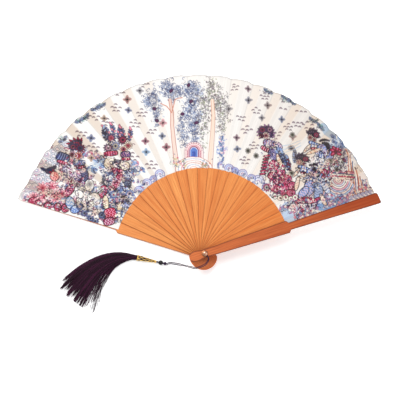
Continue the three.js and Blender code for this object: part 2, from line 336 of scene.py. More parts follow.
bead_black, nodes, links, shader = new_material("black bead", (8, 6, 9), 0.2, Coat_Weight=0.2,
                                                Coat_Roughness=0.06, Specular_IOR_Level=0.3)
place = node(nodes, "ShaderNodeTexCoord")
mottle = node(nodes, "ShaderNodeTexNoise", Scale=900.0, Detail=4.0)
links.new(place.outputs["Object"], mottle.inputs["Vector"])
tone = mix_colours(nodes, links, mottle.outputs["Fac"], (*linear(4, 3, 5), 1), (*linear(18, 13, 20), 1))
links.new(tone, shader.inputs["Base Color"])
bead = turned("bead", ball_profile(bead_radius, bead_offset, 1.0, 36), 44, bead_black)
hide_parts("tassel_bead")
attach(bead, "tassel")

cap_gold, nodes, links, shader = new_material("gilt wire", (242, 196, 96), 0.36, 0.6)
place = node(nodes, "ShaderNodeTexCoord")
tarnish = node(nodes, "ShaderNodeTexNoise", Scale=700.0, Detail=5.0)
links.new(place.outputs["Object"], tarnish.inputs["Vector"])
tone = mix_colours(nodes, links, tarnish.outputs["Fac"], (*linear(224, 166, 70), 1),
                   (*linear(255, 226, 132), 1))
links.new(tone, shader.inputs["Base Color"])
rough = node(nodes, "ShaderNodeMapRange", To_Min=0.22, To_Max=0.45)
links.new(tarnish.outputs["Fac"], rough.inputs["Value"])
links.new(rough.outputs["Result"], shader.inputs["Roughness"])


cap_tip, wire_thickness, core_gap = 1.28, 0.46, 0.42


def cap_radius(share):
    """Radius of the cap's outside, from its narrow end to its mouth."""
    waist = 0.42 * cap_mouth + 0.58 * cap_tip
    return np.interp(share, (0, 0.45, 0.9, 1), (cap_tip, waist, 0.92 * cap_mouth, cap_mouth))


core_profile = [(cap_radius(s) - core_gap, cap_offset + cap_length * s) for s in np.linspace(0, 1, 40)]
core = turned("bound_core", core_profile, 40, cord_thread, lambda turn,
              offset: 0.03 * sin(9 * turn + 6 * offset))
store(core.data, "ply", "FLOAT", [0.2 + 0.8 * abs(sin(i * 0.31)) for i in range(len(core.data.vertices))],
      "value")
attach(core, "tassel")


def tree(name, inputs):
    """An empty Geometry Nodes tree with a Geometry input and these named inputs."""
    group = bpy.data.node_groups.new(name, "GeometryNodeTree")
    face = group.interface
    face.new_socket("Geometry", in_out="INPUT", socket_type="NodeSocketGeometry")
    for socket, kind, value in inputs:
        made = face.new_socket(socket, in_out="INPUT", socket_type="NodeSocket" + kind)
        if value is not None:
            made.default_value = value
    face.new_socket("Geometry", in_out="OUTPUT", socket_type="NodeSocketGeometry")
    given, result = group.nodes.new("NodeGroupInput"), group.nodes.new("NodeGroupOutput")
    return group, group.nodes, group.links, given, result


def grown(base, group, values, name):
    """The plain mesh that the tree makes of the base object, as a new object; the base goes."""
    modifier = base.modifiers.new("tree", "NODES")
    modifier.node_group = group
    for item in group.interface.items_tree:
        if item.item_type == "SOCKET" and item.in_out == "INPUT" and item.name in values:
            modifier[item.identifier] = values[item.name]
    bpy.context.view_layer.update()
    graph = bpy.context.evaluated_depsgraph_get()
    mesh = bpy.data.meshes.new_from_object(base.evaluated_get(graph), preserve_all_data_layers=True,
                                           depsgraph=graph)
    mesh.name = name
    bpy.data.objects.remove(base)
    made = bpy.data.objects.new(name, mesh)
    scene.collection.objects.link(made)
    return made


def poly_lines(name, lines, radii=None):
    """A curve object of open poly splines."""
    curve = bpy.data.curves.new(name, "CURVE")
    curve.dimensions = "3D"
    for index, line in enumerate(lines):
        spline = curve.splines.new("POLY")
        spline.points.add(len(line) - 1)
        spline.points.foreach_set("co", np.hstack([line, np.ones((len(line), 1))]).ravel())
        if radii is not None:
            spline.points.foreach_set("radius", radii[index])
    made = bpy.data.objects.new(name, curve)
    scene.collection.objects.link(made)
    return made


wire_tree, nodes, links, given, result = tree("round_wire", [
    ("Thickness", "Float", 0.0004), ("Sides", "Int", 6), ("Material", "Material", None)])
profile = node(nodes, "GeometryNodeCurvePrimitiveCircle")
sweep = node(nodes, "GeometryNodeCurveToMesh")
sweep.inputs["Fill Caps"].default_value = True
realize, paint = node(nodes, "GeometryNodeRealizeInstances"), node(nodes, "GeometryNodeSetMaterial")
smooth = node(nodes, "GeometryNodeSetShadeSmooth")
halve = node(nodes, "ShaderNodeMath", operation="MULTIPLY")
halve.inputs[1].default_value = 0.5
radius = node(nodes, "GeometryNodeInputRadius")
links.new(given.outputs["Thickness"], halve.inputs[0])
links.new(halve.outputs[0], profile.inputs["Radius"])
links.new(given.outputs["Sides"], profile.inputs["Resolution"])
links.new(given.outputs["Geometry"], sweep.inputs["Curve"])
links.new(profile.outputs["Curve"], sweep.inputs["Profile Curve"])
links.new(radius.outputs[0], sweep.inputs["Scale"])
links.new(sweep.outputs["Mesh"], smooth.inputs["Geometry"])
links.new(smooth.outputs["Geometry"], realize.inputs["Geometry"])
links.new(realize.outputs["Geometry"], paint.inputs["Geometry"])
links.new(given.outputs["Material"], paint.inputs["Material"])
links.new(paint.outputs["Geometry"], result.inputs["Geometry"])



def cap_wire(offsets, radii, turns):
    """A wire round the cap's axis, from lists of offsets, radii and turns."""
    points = []
    for offset, radius, turn in zip(offsets, radii, turns):
        outward = cos(turn) * tassel_side + sin(turn) * tassel_top
        points.append(along_tassel(cap_offset + offset) + radius * mm * outward)
    return np.array(points)


wires = []
leads, ring_shares, ring_inset = 5, (0.0, 0.03, 0.07, 0.93, 0.97, 1.0), 0.25
for way_round in (-1, 1):
    for start in range(leads):
        shares = np.linspace(0.02, 0.98, 44)
        turns = way_round * shares * 1.3 * pi + 2 * pi * start / leads
        wires.append(cap_wire(shares * cap_length, cap_radius(shares) - 0.22, turns))
for share in ring_shares:
    turns = np.linspace(0, 2 * pi, 33)
    offset = min(max(share * cap_length, ring_inset), cap_length - ring_inset)
    wires.append(cap_wire([offset] * 33, [cap_radius(share) - 0.24] * 33, turns))
lattice = grown(poly_lines("cap_wires", wires), wire_tree,
                {"Thickness": wire_thickness * mm, "Sides": 6, "Material": cap_gold}, "gilt_openwork_cap")
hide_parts("tassel_cap")
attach(lattice, "tassel")


# ---- Tassel skirt ----
# Over a thousand loose aubergine threads, bound in the cap's mouth, fanned out and curled over to one
# side on the table. They lie in nine tufts with uneven tips, and thin strays leave the inner side.
skirt_length, skirt_end_width, skirt_turn = 84, 46, 66
bundle_half, run_on, longest, lowest = 2.3, 1.2, 1.07, 0.27
tuft_pull, inner_pull, stray_swing = 0.34, 0.36, 3.5
thread_count, stray_count, thread_points, thread_thickness = 1150, 92, 13, 0.62
rng = np.random.default_rng(11)


def skirt_line(steps):
    """The bundle's middle line, run on past its end: points in millimetres, headings and shares."""
    shares = np.linspace(0, run_on, steps)
    centre = knot_centre + tassel_way * (cap_offset + 0.93 * cap_length)
    points, headings = [], []
    for share in shares:
        heading = radians(tassel_bearing + skirt_turn * sin(min(share, 1) * pi / 2))
        points.append(centre.copy())
        headings.append(heading)
        centre = centre + run_on * skirt_length / (steps - 1) * np.array([cos(heading), sin(heading), 0])
    return np.array(points), np.array(headings), shares


def thread_line(across_share, height_share, length_share, stray=0.0, tuft_middle=None):
    """One thread by its place in the bundle and its length; it gathers in a tuft or strays from it."""
    points, headings, shares = skirt_line(60)
    shares_used = np.linspace(0, length_share, thread_points)
    centre = np.stack([np.interp(shares_used, shares, points[:, i]) for i in range(3)], 1)
    heading = np.interp(shares_used, shares, headings)
    half_width = bundle_half + (skirt_end_width / 2 - 2.5) * np.maximum(0, shares_used - 0.05)
    half_height = bundle_half * (1 + 0.5 * np.sin(np.minimum(shares_used, 1) * pi) - 0.25 * shares_used)
    root = 1 - np.clip(shares_used / 0.3, 0, 1)
    phase, swing = rng.uniform(0, 2 * pi), rng.uniform(0.1, 0.55)
    if tuft_middle is None:
        drift = across_share + stray * shares_used**1.2
        swing = stray_swing * swing
    else:
        drift = across_share + tuft_pull * (tuft_middle - across_share) * shares_used**2.2
        drift = drift - inner_pull * max(0.0, across_share - 0.25) * np.minimum(1, 2 * shares_used)
    side = half_width * drift + swing * np.sin(shares_used * 9 + phase) * shares_used
    height = np.maximum(half_height, root * centre[0, 2]) + half_height * height_share
    height = np.maximum(height, lowest)
    return np.stack([centre[:, 0] - side * np.sin(heading), centre[:, 1] + side * np.cos(heading), height],
                    1) * mm


threads, thicknesses = [], []
tuft_reach = [0.9, 1.0, 0.95, 1.01, 0.96, 1.04, 0.99, 1.07, 1.03]
tufts = len(tuft_reach)
thread_taper = np.interp(np.linspace(0, 1, thread_points), (0, 0.7, 1), (0.75, 1.0, 0.6))
for _ in range(thread_count):
    turn, reach = rng.uniform(0, 2 * pi), sqrt(rng.uniform(0, 1))
    share_across = float(np.clip(reach * cos(turn) + rng.normal(0, 0.02), -1, 1))
    tuft = min(tufts - 1, int((share_across + 1) / 2 * tufts + rng.uniform(-0.25, 0.25)))
    middle = (tuft + 0.5) / tufts * 2 - 1
    length = tuft_reach[tuft] - 0.25 * abs(share_across - middle) + rng.normal(0, 0.04)
    threads.append(thread_line(share_across, 0.92 * reach * sin(turn), min(longest, length),
                               tuft_middle=middle))
    thicknesses.append(thread_taper * rng.uniform(0.8, 1.25))
for _ in range(stray_count):
    share_across = 1 - 0.62 * rng.uniform(0, 1)
    spread = 0.02 + 0.62 * rng.uniform(0, 1) ** 1.3
    threads.append(thread_line(share_across, rng.uniform(-0.9, -0.2), rng.uniform(0.5, longest),
                               stray=spread))
    thicknesses.append(np.full(thread_points, rng.uniform(0.5, 0.9)))
skirt_thread = thread_material("skirt thread", (15, 3, 12), (124, 48, 98), 0.55, 2600)
skirt = grown(poly_lines("skirt_lines", threads, thicknesses), wire_tree,
              {"Thickness": thread_thickness * mm, "Sides": 3, "Material": skirt_thread}, "thread_skirt")
per_thread = thread_points * 3
shade = rng.random(len(skirt.data.vertices) // per_thread + 1) ** 1.7
store(skirt.data, "ply", "FLOAT", 0.1 + 0.9 * shade.repeat(per_thread)[:len(skirt.data.vertices)], "value")
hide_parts("tassel_skirt")
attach(skirt, "tassel")


# ---- Sticks and guards ----
# Thin slats of sandalwood, cut to one pattern and stacked on the rivet: nineteen sticks, shaved thin
# where the leaf is glued on, between two thick guards of redder wood with stepped arms.
joints = {joint["name"]: joint for joint in frame["joints"]}
pitch = joints["fold_01"]["range_deg"][1]
layers = len([name for name in joints if name.startswith("fold_")])
open_angle = pitch * layers
shoulder, leaf_rim = 97.5, 209.0


def bezier(a, b, c, d, steps=9):
    a, b, c, d = (np.array(corner) for corner in (a, b, c, d))
    return [tuple((1 - t) ** 3 * a + 3 * (1 - t) ** 2 * t * b + 3 * (1 - t) * t**2 * c + t**3 * d)
            for t in np.linspace(0, 1, steps)[1:]]


def blade_outline(beyond):
    """The slat's outline in its own frame, anticlockwise: neck, shoulder, what lies beyond, and the tail."""
    tail, neck, wide = 5.7, 4.4, 7.0
    low = -tail_length + 0.62 * 2 * tail
    line = [(neck, 0.0), (wide, shoulder)] + beyond + [(-wide, shoulder), (-neck, 0.0)]
    line += bezier((-neck, 0), (-neck, -0.3 * tail_length), (-tail, -0.3 * tail_length), (-tail, low))
    line += bezier((-tail, low), (-tail, -0.9 * tail_length), (-0.6 * tail, -tail_length),
                   (0, -tail_length))
    line += bezier((0, -tail_length), (0.6 * tail, -tail_length), (tail, -0.9 * tail_length), (tail, low))
    line += bezier((tail, low), (tail, -0.3 * tail_length), (neck, -0.3 * tail_length), (neck, 0))
    return line[:-1]


def arm_outline():
    root, tip, end = 4.1, 6.4, leaf_rim + 2
    step = shoulder + 0.4 * 5.8
    right = [(root, step), (tip, end - 2.6), (tip - 0.2, end - 1.1), (tip - 0.9, end - 0.3),
             (tip - 2.2, end)]
    left = [(-tip + 1.5, end - 0.7), (-tip + 0.4, end - 1.6), (-tip, end - 3.2), (-root, step)]
    return right + left


def cut_slat(name, outline, thickness, edge, bore=True, lift=0.0):
    """A slat with eased edges from a flat outline, lying on z = lift."""
    curve = bpy.data.curves.new(name, "CURVE")
    curve.dimensions = "2D"
    curve.fill_mode = "BOTH"
    curve.extrude = (thickness / 2 - edge) * mm
    curve.bevel_depth = edge * mm
    curve.bevel_resolution = 2
    curve.offset = -edge * mm
    circle = [(1.59 * cos(t), 1.59 * sin(t)) for t in np.linspace(0, 2 * pi, 28, endpoint=False)]
    for points in (outline, circle) if bore else (outline,):
        spline = curve.splines.new("POLY")
        spline.points.add(len(points) - 1)
        spline.points.foreach_set("co", np.hstack([np.array(points) * mm, np.zeros((len(points), 1)),
                                                   np.ones((len(points), 1))]).ravel())
        spline.use_cyclic_u = True
    holder = bpy.data.objects.new(name, curve)
    scene.collection.objects.link(holder)
    bpy.context.view_layer.update()
    mesh = bpy.data.meshes.new_from_object(holder.evaluated_get(bpy.context.evaluated_depsgraph_get()))
    bpy.data.objects.remove(holder)
    mesh.transform(Matrix.Translation((0, 0, (thickness / 2 + lift) * mm)))
    mesh.polygons.foreach_set("use_smooth", [False] * len(mesh.polygons))
    return mesh


def joined(name, *meshes):
    points, faces = [], []
    for mesh in meshes:
        faces += [tuple(i + len(points) for i in p.vertices) for p in mesh.polygons]
        points += [v.co.copy() for v in mesh.vertices]
    whole = bpy.data.meshes.new(name)
    whole.from_pydata(points, [], faces)
    return whole


slip_half, slip_end = 1.7, leaf_rim - 5
slip_round = [(slip_half * cos(t), slip_end - slip_half + slip_half * sin(t))
              for t in np.linspace(0, pi, 9)]
slip_outline = [(slip_half, shoulder - 3.4)] + slip_round + [(-slip_half, shoulder - 3.4)]
stick_mesh = joined("stick", cut_slat("blade", blade_outline([]), 0.8, 0.1),
                    cut_slat("slip", slip_outline, 0.42, 0.06, False, 0.03))
guard_mesh = joined("guard", cut_slat("guard_blade", blade_outline(arm_outline()), 2.2, 0.45))

# Wood grain for every slat: long fine pores and slow bands along the slat, from its own coordinates
grain = bpy.data.node_groups.new("Sandalwood grain", "ShaderNodeTree")
for socket, kind, value in (("Vector", "Vector", None), ("Tint", "Float", 0.5),
                            ("Pore contrast", "Float", 0.5), ("Rim width", "Float", 0.001)):
    made = grain.interface.new_socket(socket, in_out="INPUT", socket_type="NodeSocket" + kind)
    if value is not None:
        made.default_value = value
for socket, kind in (("Band", "Float"), ("Pores", "Float"), ("Rim", "Float"), ("Along", "Float")):
    grain.interface.new_socket(socket, in_out="OUTPUT", socket_type="NodeSocket" + kind)
nodes, links = grain.nodes, grain.links
given, result = nodes.new("NodeGroupInput"), nodes.new("NodeGroupOutput")
slide = node(nodes, "ShaderNodeCombineXYZ")
apart = node(nodes, "ShaderNodeMath", operation="MULTIPLY")
apart.inputs[1].default_value = 0.37
links.new(given.outputs["Tint"], apart.inputs[0])
links.new(apart.outputs[0], slide.inputs["X"])
links.new(apart.outputs[0], slide.inputs["Y"])
shifted = node(nodes, "ShaderNodeVectorMath", operation="ADD")
links.new(given.outputs["Vector"], shifted.inputs[0])
links.new(slide.outputs[0], shifted.inputs[1])
outputs = []
for scale, detail in (((330, 9, 330), 3.0), ((2100, 46, 900), 4.0)):
    stretch = node(nodes, "ShaderNodeMapping")
    stretch.inputs["Scale"].default_value = scale
    cloud = node(nodes, "ShaderNodeTexNoise", Scale=1.0, Detail=detail, Roughness=0.55, Distortion=0.35)
    links.new(shifted.outputs[0], stretch.inputs["Vector"])
    links.new(stretch.outputs[0], cloud.inputs["Vector"])
    spread = node(nodes, "ShaderNodeMapRange", From_Min=0.3, From_Max=0.7)
    links.new(cloud.outputs["Fac"], spread.inputs["Value"])
    outputs.append(spread.outputs["Result"])
faded = node(nodes, "ShaderNodeMath", operation="MULTIPLY")
links.new(outputs[1], faded.inputs[0])
links.new(given.outputs["Pore contrast"], faded.inputs[1])
links.new(outputs[0], result.inputs["Band"])
links.new(faded.outputs[0], result.inputs["Pores"])
# the dark rim, painted shade along the slat's edges where slats overlap, with a darker sawn edge: half the
# slat's width along its length, less the distance from its middle line
parts = node(nodes, "ShaderNodeSeparateXYZ")
links.new(given.outputs["Vector"], parts.inputs[0])
along = node(nodes, "ShaderNodeMapRange", From_Min=-20 * mm, From_Max=220 * mm)
links.new(parts.outputs["Y"], along.inputs["Value"])
links.new(along.outputs["Result"], result.inputs["Along"])
width_rule = node(nodes, "ShaderNodeFloatCurve")
widths = width_rule.mapping.curves[0]
half_widths = [(-20, 0.0), (-16.4, 3.2), (-14, 4.9), (-11, 5.6), (-7.5, 5.4), (-4, 4.6), (0, 4.4),
               (shoulder, 7.0), (shoulder + 2.4, 4.1), (leaf_rim - 2, 6.4), (leaf_rim, 6.0),
               (leaf_rim + 2, 3.0), (220, 0.0)]
widths.points[0].location, widths.points[-1].location = (0, 0), (1, 0)
for place, half in half_widths[1:-1]:
    widths.points.new((place + 20) / 240, half / 10)
for point in widths.points:
    point.handle_type = "VECTOR"
width_rule.mapping.update()
links.new(along.outputs["Result"], width_rule.inputs["Value"])
sideways = node(nodes, "ShaderNodeMath", operation="ABSOLUTE")
links.new(parts.outputs["X"], sideways.inputs[0])
half = node(nodes, "ShaderNodeMath", operation="MULTIPLY")
half.inputs[1].default_value = 10 * mm
links.new(width_rule.outputs[0], half.inputs[0])
margin = node(nodes, "ShaderNodeMath", operation="SUBTRACT")
links.new(half.outputs[0], margin.inputs[0])
links.new(sideways.outputs[0], margin.inputs[1])
rim = node(nodes, "ShaderNodeMapRange", From_Min=0.2 * mm, To_Min=1.0, To_Max=0.0,
           interpolation_type="SMOOTHSTEP")
links.new(given.outputs["Rim width"], rim.inputs["From Max"])
links.new(margin.outputs[0], rim.inputs["Value"])
links.new(rim.outputs["Result"], result.inputs["Rim"])


def wood_material(name, pale, deep, pore, rim_tone, roughness, rim_width, rim_strength, arm_shade=0.0):
    """Planed, lightly waxed wood: bands and pores along the slat, and a darker rim of painted shade along
    the edges with a darker sawn edge.
    """
    material, nodes, links, shader = new_material(name, pale, roughness, Coat_Weight=0.03,
                                                  Coat_Roughness=0.4)
    shader.inputs["Specular IOR Level"].default_value = 0.22
    place = node(nodes, "ShaderNodeAttribute", attribute_name="slat_place")
    tint = node(nodes, "ShaderNodeAttribute", attribute_name="tint")
    rule = node(nodes, "ShaderNodeGroup", node_tree=grain)
    rule.inputs["Pore contrast"].default_value = 0.62
    rule.inputs["Rim width"].default_value = rim_width * mm
    links.new(place.outputs["Vector"], rule.inputs["Vector"])
    links.new(tint.outputs["Fac"], rule.inputs["Tint"])
    share = node(nodes, "ShaderNodeMath", operation="MULTIPLY_ADD")
    share.inputs[1].default_value = 0.6
    links.new(rule.outputs["Band"], share.inputs[0])
    lift = node(nodes, "ShaderNodeMath", operation="MULTIPLY_ADD")
    lift.inputs[1].default_value = 0.8
    links.new(tint.outputs["Fac"], lift.inputs[0])
    deeper = node(nodes, "ShaderNodeMath", operation="MULTIPLY_ADD")
    deeper.inputs[1].default_value, deeper.inputs[2].default_value = arm_shade, -0.2 - 0.4 * arm_shade
    links.new(rule.outputs["Along"], deeper.inputs[0])
    links.new(deeper.outputs[0], lift.inputs[2])
    links.new(lift.outputs[0], share.inputs[2])
    body = mix_colours(nodes, links, share.outputs[0], (*linear(*pale), 1), (*linear(*deep), 1))
    porous = mix_colours(nodes, links, rule.outputs["Pores"], body, (*linear(*pore), 1))
    # the tails are lighter and redder: painted light over the stacked tails, which lie in shade, and a
    # redder tone; the front guard's is red already
    redder = 0.0 if arm_shade else 0.62
    tail_light_and_red = node(nodes, "ShaderNodeMapRange", From_Min=0.055, From_Max=0.09, To_Min=redder, To_Max=0.0)
    links.new(rule.outputs["Along"], tail_light_and_red.inputs["Value"])
    porous = mix_colours(nodes, links, tail_light_and_red.outputs["Result"], porous, (*linear(248, 138, 84), 1))
    # the rim: painted shade along the slat's edges, with a darker sawn edge
    rim_shade_and_sawn_edge = node(nodes, "ShaderNodeMath", operation="MULTIPLY")
    rim_shade_and_sawn_edge.inputs[1].default_value = rim_strength
    links.new(rule.outputs["Rim"], rim_shade_and_sawn_edge.inputs[0])
    links.new(mix_colours(nodes, links, rim_shade_and_sawn_edge.outputs[0], porous, (*linear(*rim_tone), 1)),
              shader.inputs["Base Color"])
    rough = node(nodes, "ShaderNodeMapRange", To_Min=roughness - 0.06, To_Max=roughness + 0.12)
    links.new(rule.outputs["Pores"], rough.inputs["Value"])
    links.new(rough.outputs["Result"], shader.inputs["Roughness"])
    bumped(nodes, links, shader, rule.outputs["Pores"], -0.00006)
    return material


# Every slat's darker rim is painted shade along its edges with a darker sawn edge; on the rear guard it also
# stands for the leaf's shadow.
stick_wood = wood_material("stick sandalwood", (247, 166, 92), (218, 118, 48), (172, 84, 36), (112, 46, 14),
                           0.52, 0.75, 0.52)
rear_wood = wood_material("rear guard sandalwood", (250, 170, 98), (226, 128, 60), (176, 88, 38),
                          (112, 48, 18), 0.5, 1.2, 0.6)
front_wood = wood_material("front guard sandalwood", (220, 120, 64), (164, 66, 24), (128, 50, 18),
                           (84, 30, 14), 0.5, 1.5, 0.75, 1.15)

slat_tree, nodes, links, given, result = tree("slat_on_the_rivet", [
    ("Bearing", "Float", 0.0), ("Height", "Float", 0.0), ("Tint", "Float", 0.5),
    ("Shoulder Change", "Float", 0.0), ("Shoulder", "Float", shoulder * mm),
    ("Material", "Material", None)])
where, parts = node(nodes, "GeometryNodeInputPosition"), node(nodes, "ShaderNodeSeparateXYZ")
links.new(where.outputs[0], parts.inputs[0])
near = node(nodes, "GeometryNodeStoreNamedAttribute", data_type="FLOAT_VECTOR", domain="POINT")
near.inputs["Name"].default_value = "slat_place"
links.new(given.outputs["Geometry"], near.inputs["Geometry"])
links.new(where.outputs[0], near.inputs["Value"])
shade = node(nodes, "GeometryNodeStoreNamedAttribute", data_type="FLOAT", domain="POINT")
shade.inputs["Name"].default_value = "tint"
links.new(near.outputs["Geometry"], shade.inputs["Geometry"])
links.new(given.outputs["Tint"], shade.inputs["Value"])
gap = node(nodes, "ShaderNodeMath", operation="SUBTRACT")
links.new(parts.outputs["Y"], gap.inputs[0])
links.new(given.outputs["Shoulder"], gap.inputs[1])
size = node(nodes, "ShaderNodeMath", operation="ABSOLUTE")
links.new(gap.outputs[0], size.inputs[0])
close = node(nodes, "ShaderNodeMath", operation="LESS_THAN")
close.inputs[1].default_value = 0.4 * mm
links.new(size.outputs[0], close.inputs[0])
move = node(nodes, "ShaderNodeMath", operation="MULTIPLY")
links.new(close.outputs[0], move.inputs[0])
links.new(given.outputs["Shoulder Change"], move.inputs[1])
shift = node(nodes, "ShaderNodeCombineXYZ")
links.new(move.outputs[0], shift.inputs["Y"])
nudge = node(nodes, "GeometryNodeSetPosition")
links.new(shade.outputs["Geometry"], nudge.inputs["Geometry"])
links.new(shift.outputs[0], nudge.inputs["Offset"])
turn, rise = node(nodes, "ShaderNodeCombineXYZ"), node(nodes, "ShaderNodeCombineXYZ")
links.new(given.outputs["Bearing"], turn.inputs["Z"])
links.new(given.outputs["Height"], rise.inputs["Z"])
lay_down = node(nodes, "GeometryNodeTransform")
links.new(nudge.outputs["Geometry"], lay_down.inputs["Geometry"])
links.new(rise.outputs[0], lay_down.inputs["Translation"])
links.new(turn.outputs[0], lay_down.inputs["Rotation"])
realize, paint = node(nodes, "GeometryNodeRealizeInstances"), node(nodes, "GeometryNodeSetMaterial")
links.new(lay_down.outputs["Geometry"], realize.inputs["Geometry"])
links.new(realize.outputs["Geometry"], paint.inputs["Geometry"])
links.new(given.outputs["Material"], paint.inputs["Material"])
links.new(paint.outputs["Geometry"], result.inputs["Geometry"])

chain = ["base"] + [joints["fold_%02d" % k]["child"] for k in range(1, layers + 1)]
for layer in range(layers + 1):
    guard = layer in (0, layers)
    cad_node = "rear_guard" if layer == 0 else "front_guard" if layer == layers else "stick_%02d" % layer
    base = bpy.data.objects.new("slat", (guard_mesh if guard else stick_mesh).copy())
    scene.collection.objects.link(base)
    tint, shoulder_change = 0.35, 0.0
    if not guard:
        tint = float(np.clip(0.15 + 0.5 * layer / layers + rng.uniform(-0.28, 0.28), 0, 1))
        shoulder_change = float(rng.uniform(-0.9, 0.1)) * mm
    slat = grown(base, slat_tree, {
        "Bearing": radians(open_angle / 2 - layer * pitch), "Height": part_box(cad_node)[0].z,
        "Tint": tint, "Shoulder Change": shoulder_change,
        "Material": rear_wood if layer == 0 else front_wood if guard else stick_wood}, "carved_" + cad_node)
    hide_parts(cad_node)
    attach(slat, chain[layer])


# ---- Printed leaf ----
# One band of fine off-white cloth, glued to the sticks' slips and pleated between them. Its print has
# trees, a gate, beds, a bird, hills and tall clusters of blossom, several of which read as robed figures.
# Its pleats fold along creases between the sticks, each one spanning from one slat to the next.
fine = 0.3
left_side, low_side, paper_width, paper_height = -212.0, 20.0, 424.0, 194.0
paper = np.empty((int(paper_height / fine), int(paper_width / fine), 3))
cloth_white = np.array([238, 235, 231])
paper[:] = cloth_white
stripe_growth, wave_growth = 1.6, 1.5
ink_strength, ink_bite = 1.12, 1.25
brush = np.random.default_rng(23)
navy, ink, blue, sky, lilac = (30, 36, 78), (30, 25, 34), (92, 122, 190), (160, 188, 222), (150, 150, 204)
wine, pink, rose = (142, 22, 62), (224, 128, 152), (198, 66, 96)
blush, cream = (246, 206, 200), (244, 236, 214)
slate, grey, moss, rust = (88, 98, 128), (128, 124, 130), (128, 136, 108), (186, 104, 76)


def dab(x, y, reach, cover, colour):
    """Lays colour on the cloth round (x, y) where cover(dx, dy) is above 0; 1 hides what is under it."""
    first_row, first_column = int((y - reach - low_side) / fine), int((x - reach - left_side) / fine)
    last_row, last_column = int((y + reach - low_side) / fine) + 2, int((x + reach - left_side) / fine) + 2
    first_row, first_column = max(first_row, 0), max(first_column, 0)
    last_row, last_column = min(last_row, paper.shape[0]), min(last_column, paper.shape[1])
    if first_row >= last_row or first_column >= last_column:
        return
    rows, columns = np.mgrid[first_row:last_row, first_column:last_column]
    share = np.clip(cover(left_side + columns * fine - x, low_side + rows * fine - y), 0, 1)[..., None]
    patch = paper[first_row:last_row, first_column:last_column]
    patch += share * (np.array(colour) - patch)


def oval(x, y, long, wide, lean=0.0, colour=ink, edge=None, edge_width=0.35, strength=1.0):
    """An oval petal or patch, with an inked edge if one is named; lean is in degrees."""
    c, s = cos(radians(lean)), sin(radians(lean))

    def inside(dx, dy, grow=0.0):
        a, b = (dx * c + dy * s) / (long + grow), (-dx * s + dy * c) / (wide + grow)
        return (1 - np.hypot(a, b)) * min(long, wide) / fine + 0.5
    if edge is not None:
        dab(x, y, long + 1, lambda dx, dy: inside(dx, dy, edge_width) * strength, edge)
    if colour is not None:
        dab(x, y, long + 1, lambda dx, dy: np.clip(inside(dx, dy), 0, 1) * strength, colour)


def stroke(points, width, colour, strength=1.0):
    """A pen line through the points."""
    for (ax, ay), (bx, by) in zip(points, points[1:]):
        length = max(1e-6, hypot(bx - ax, by - ay))
        ux, uy = (bx - ax) / length, (by - ay) / length
        mx, my = (ax + bx) / 2, (ay + by) / 2

        def cover(dx, dy):
            on = np.clip(dx * ux + dy * uy, -length / 2, length / 2)
            return ((width / 2 - np.hypot(dx - on * ux, dy - on * uy)) / fine + 0.5) * strength
        dab(mx, my, length / 2 + width, cover, colour)


def bow(x, y, radius, start, end, width, colour, strength=1.0):
    """Part of a circle, drawn with the pen from the start to the end angle, in degrees."""
    turns = np.radians(np.linspace(start, end, max(3, int(abs(end - start) / 22) + 1)))
    stroke([(x + radius * cos(t), y + radius * sin(t)) for t in turns], width, colour, strength)


def waved(points, sway, width, colour, steps=7):
    for (ax, ay), (bx, by) in zip(points, points[1:]):
        shares = np.linspace(0, 1, steps)
        stroke([(ax + (bx - ax) * s + brush.normal(0, sway), ay + (by - ay) * s) for s in shares], width,
               colour)


def star_flower(x, y, size, colour, heart=ink):
    """Four rounded petals on a cross, four short ones between them, and an inked heart."""
    for lean in (45, 135, 225, 315):
        oval(x + 0.46 * size * cos(radians(lean)), y + 0.46 * size * sin(radians(lean)), 0.28 * size,
             0.14 * size, lean, grey)
    pale = tuple(0.62 * np.array(colour) + 0.38 * 255)
    for lean in (0, 90, 180, 270):
        turn = radians(lean + brush.uniform(-6, 6))
        oval(x + 0.62 * size * cos(turn), y + 0.62 * size * sin(turn), 0.44 * size, 0.3 * size, lean, pale,
             colour, 0.36)
        oval(x + 0.5 * size * cos(turn), y + 0.5 * size * sin(turn), 0.26 * size, 0.1 * size, lean, heart)
    oval(x, y, 0.26 * size, 0.26 * size, 0, heart)


def petal_group(x, y, size=1.0):
    """Six small drooping petals, each an inked bow over a little shade."""
    for dx, dy in ((-0.4, 4.0), (-5.0, 0.9), (-0.6, 0.0), (4.4, 0.4), (-2.6, -3.4), (2.4, -3.8)):
        if brush.random() < 0.1:
            continue
        px, py = x + size * dx + brush.normal(0, 0.25), y + size * dy + brush.normal(0, 0.25)
        oval(px, py + 0.3, 1.7 * size, 1.0 * size, brush.uniform(-15, 15), (208, 194, 196), None)
        bow(px, py - 0.8, 1.75 * size, 8, 172, 0.62, (100, 88, 98))
        bow(px, py - 0.4, 0.7 * size, 0, 180, 0.5, (120, 106, 114))


def curls(x, y, spread_x, spread_y, count, colours, size=1.3, width=0.4, strength=0.9):
    """A drift of small scribbled curls, thick in the middle."""
    for _ in range(count):
        px, py = x + brush.normal(0, spread_x), y + brush.normal(0, spread_y)
        start = brush.uniform(0, 360)
        bow(px, py, size * brush.uniform(0.5, 1.3), start, start + brush.uniform(110, 300), width,
            colours[brush.integers(len(colours))], strength)


def scallops(x, y, radius, colours, start=0, end=180, width=0.55, ground=(226, 228, 240)):
    """Nested bows, as a cloud, a wave or a scale of a hill is drawn."""
    oval(x, y, radius, radius, 0, ground, None, strength=0.85)
    for index, colour in enumerate(colours):
        bow(x, y, radius * (1 - index / len(colours)), start, end, width, colour)


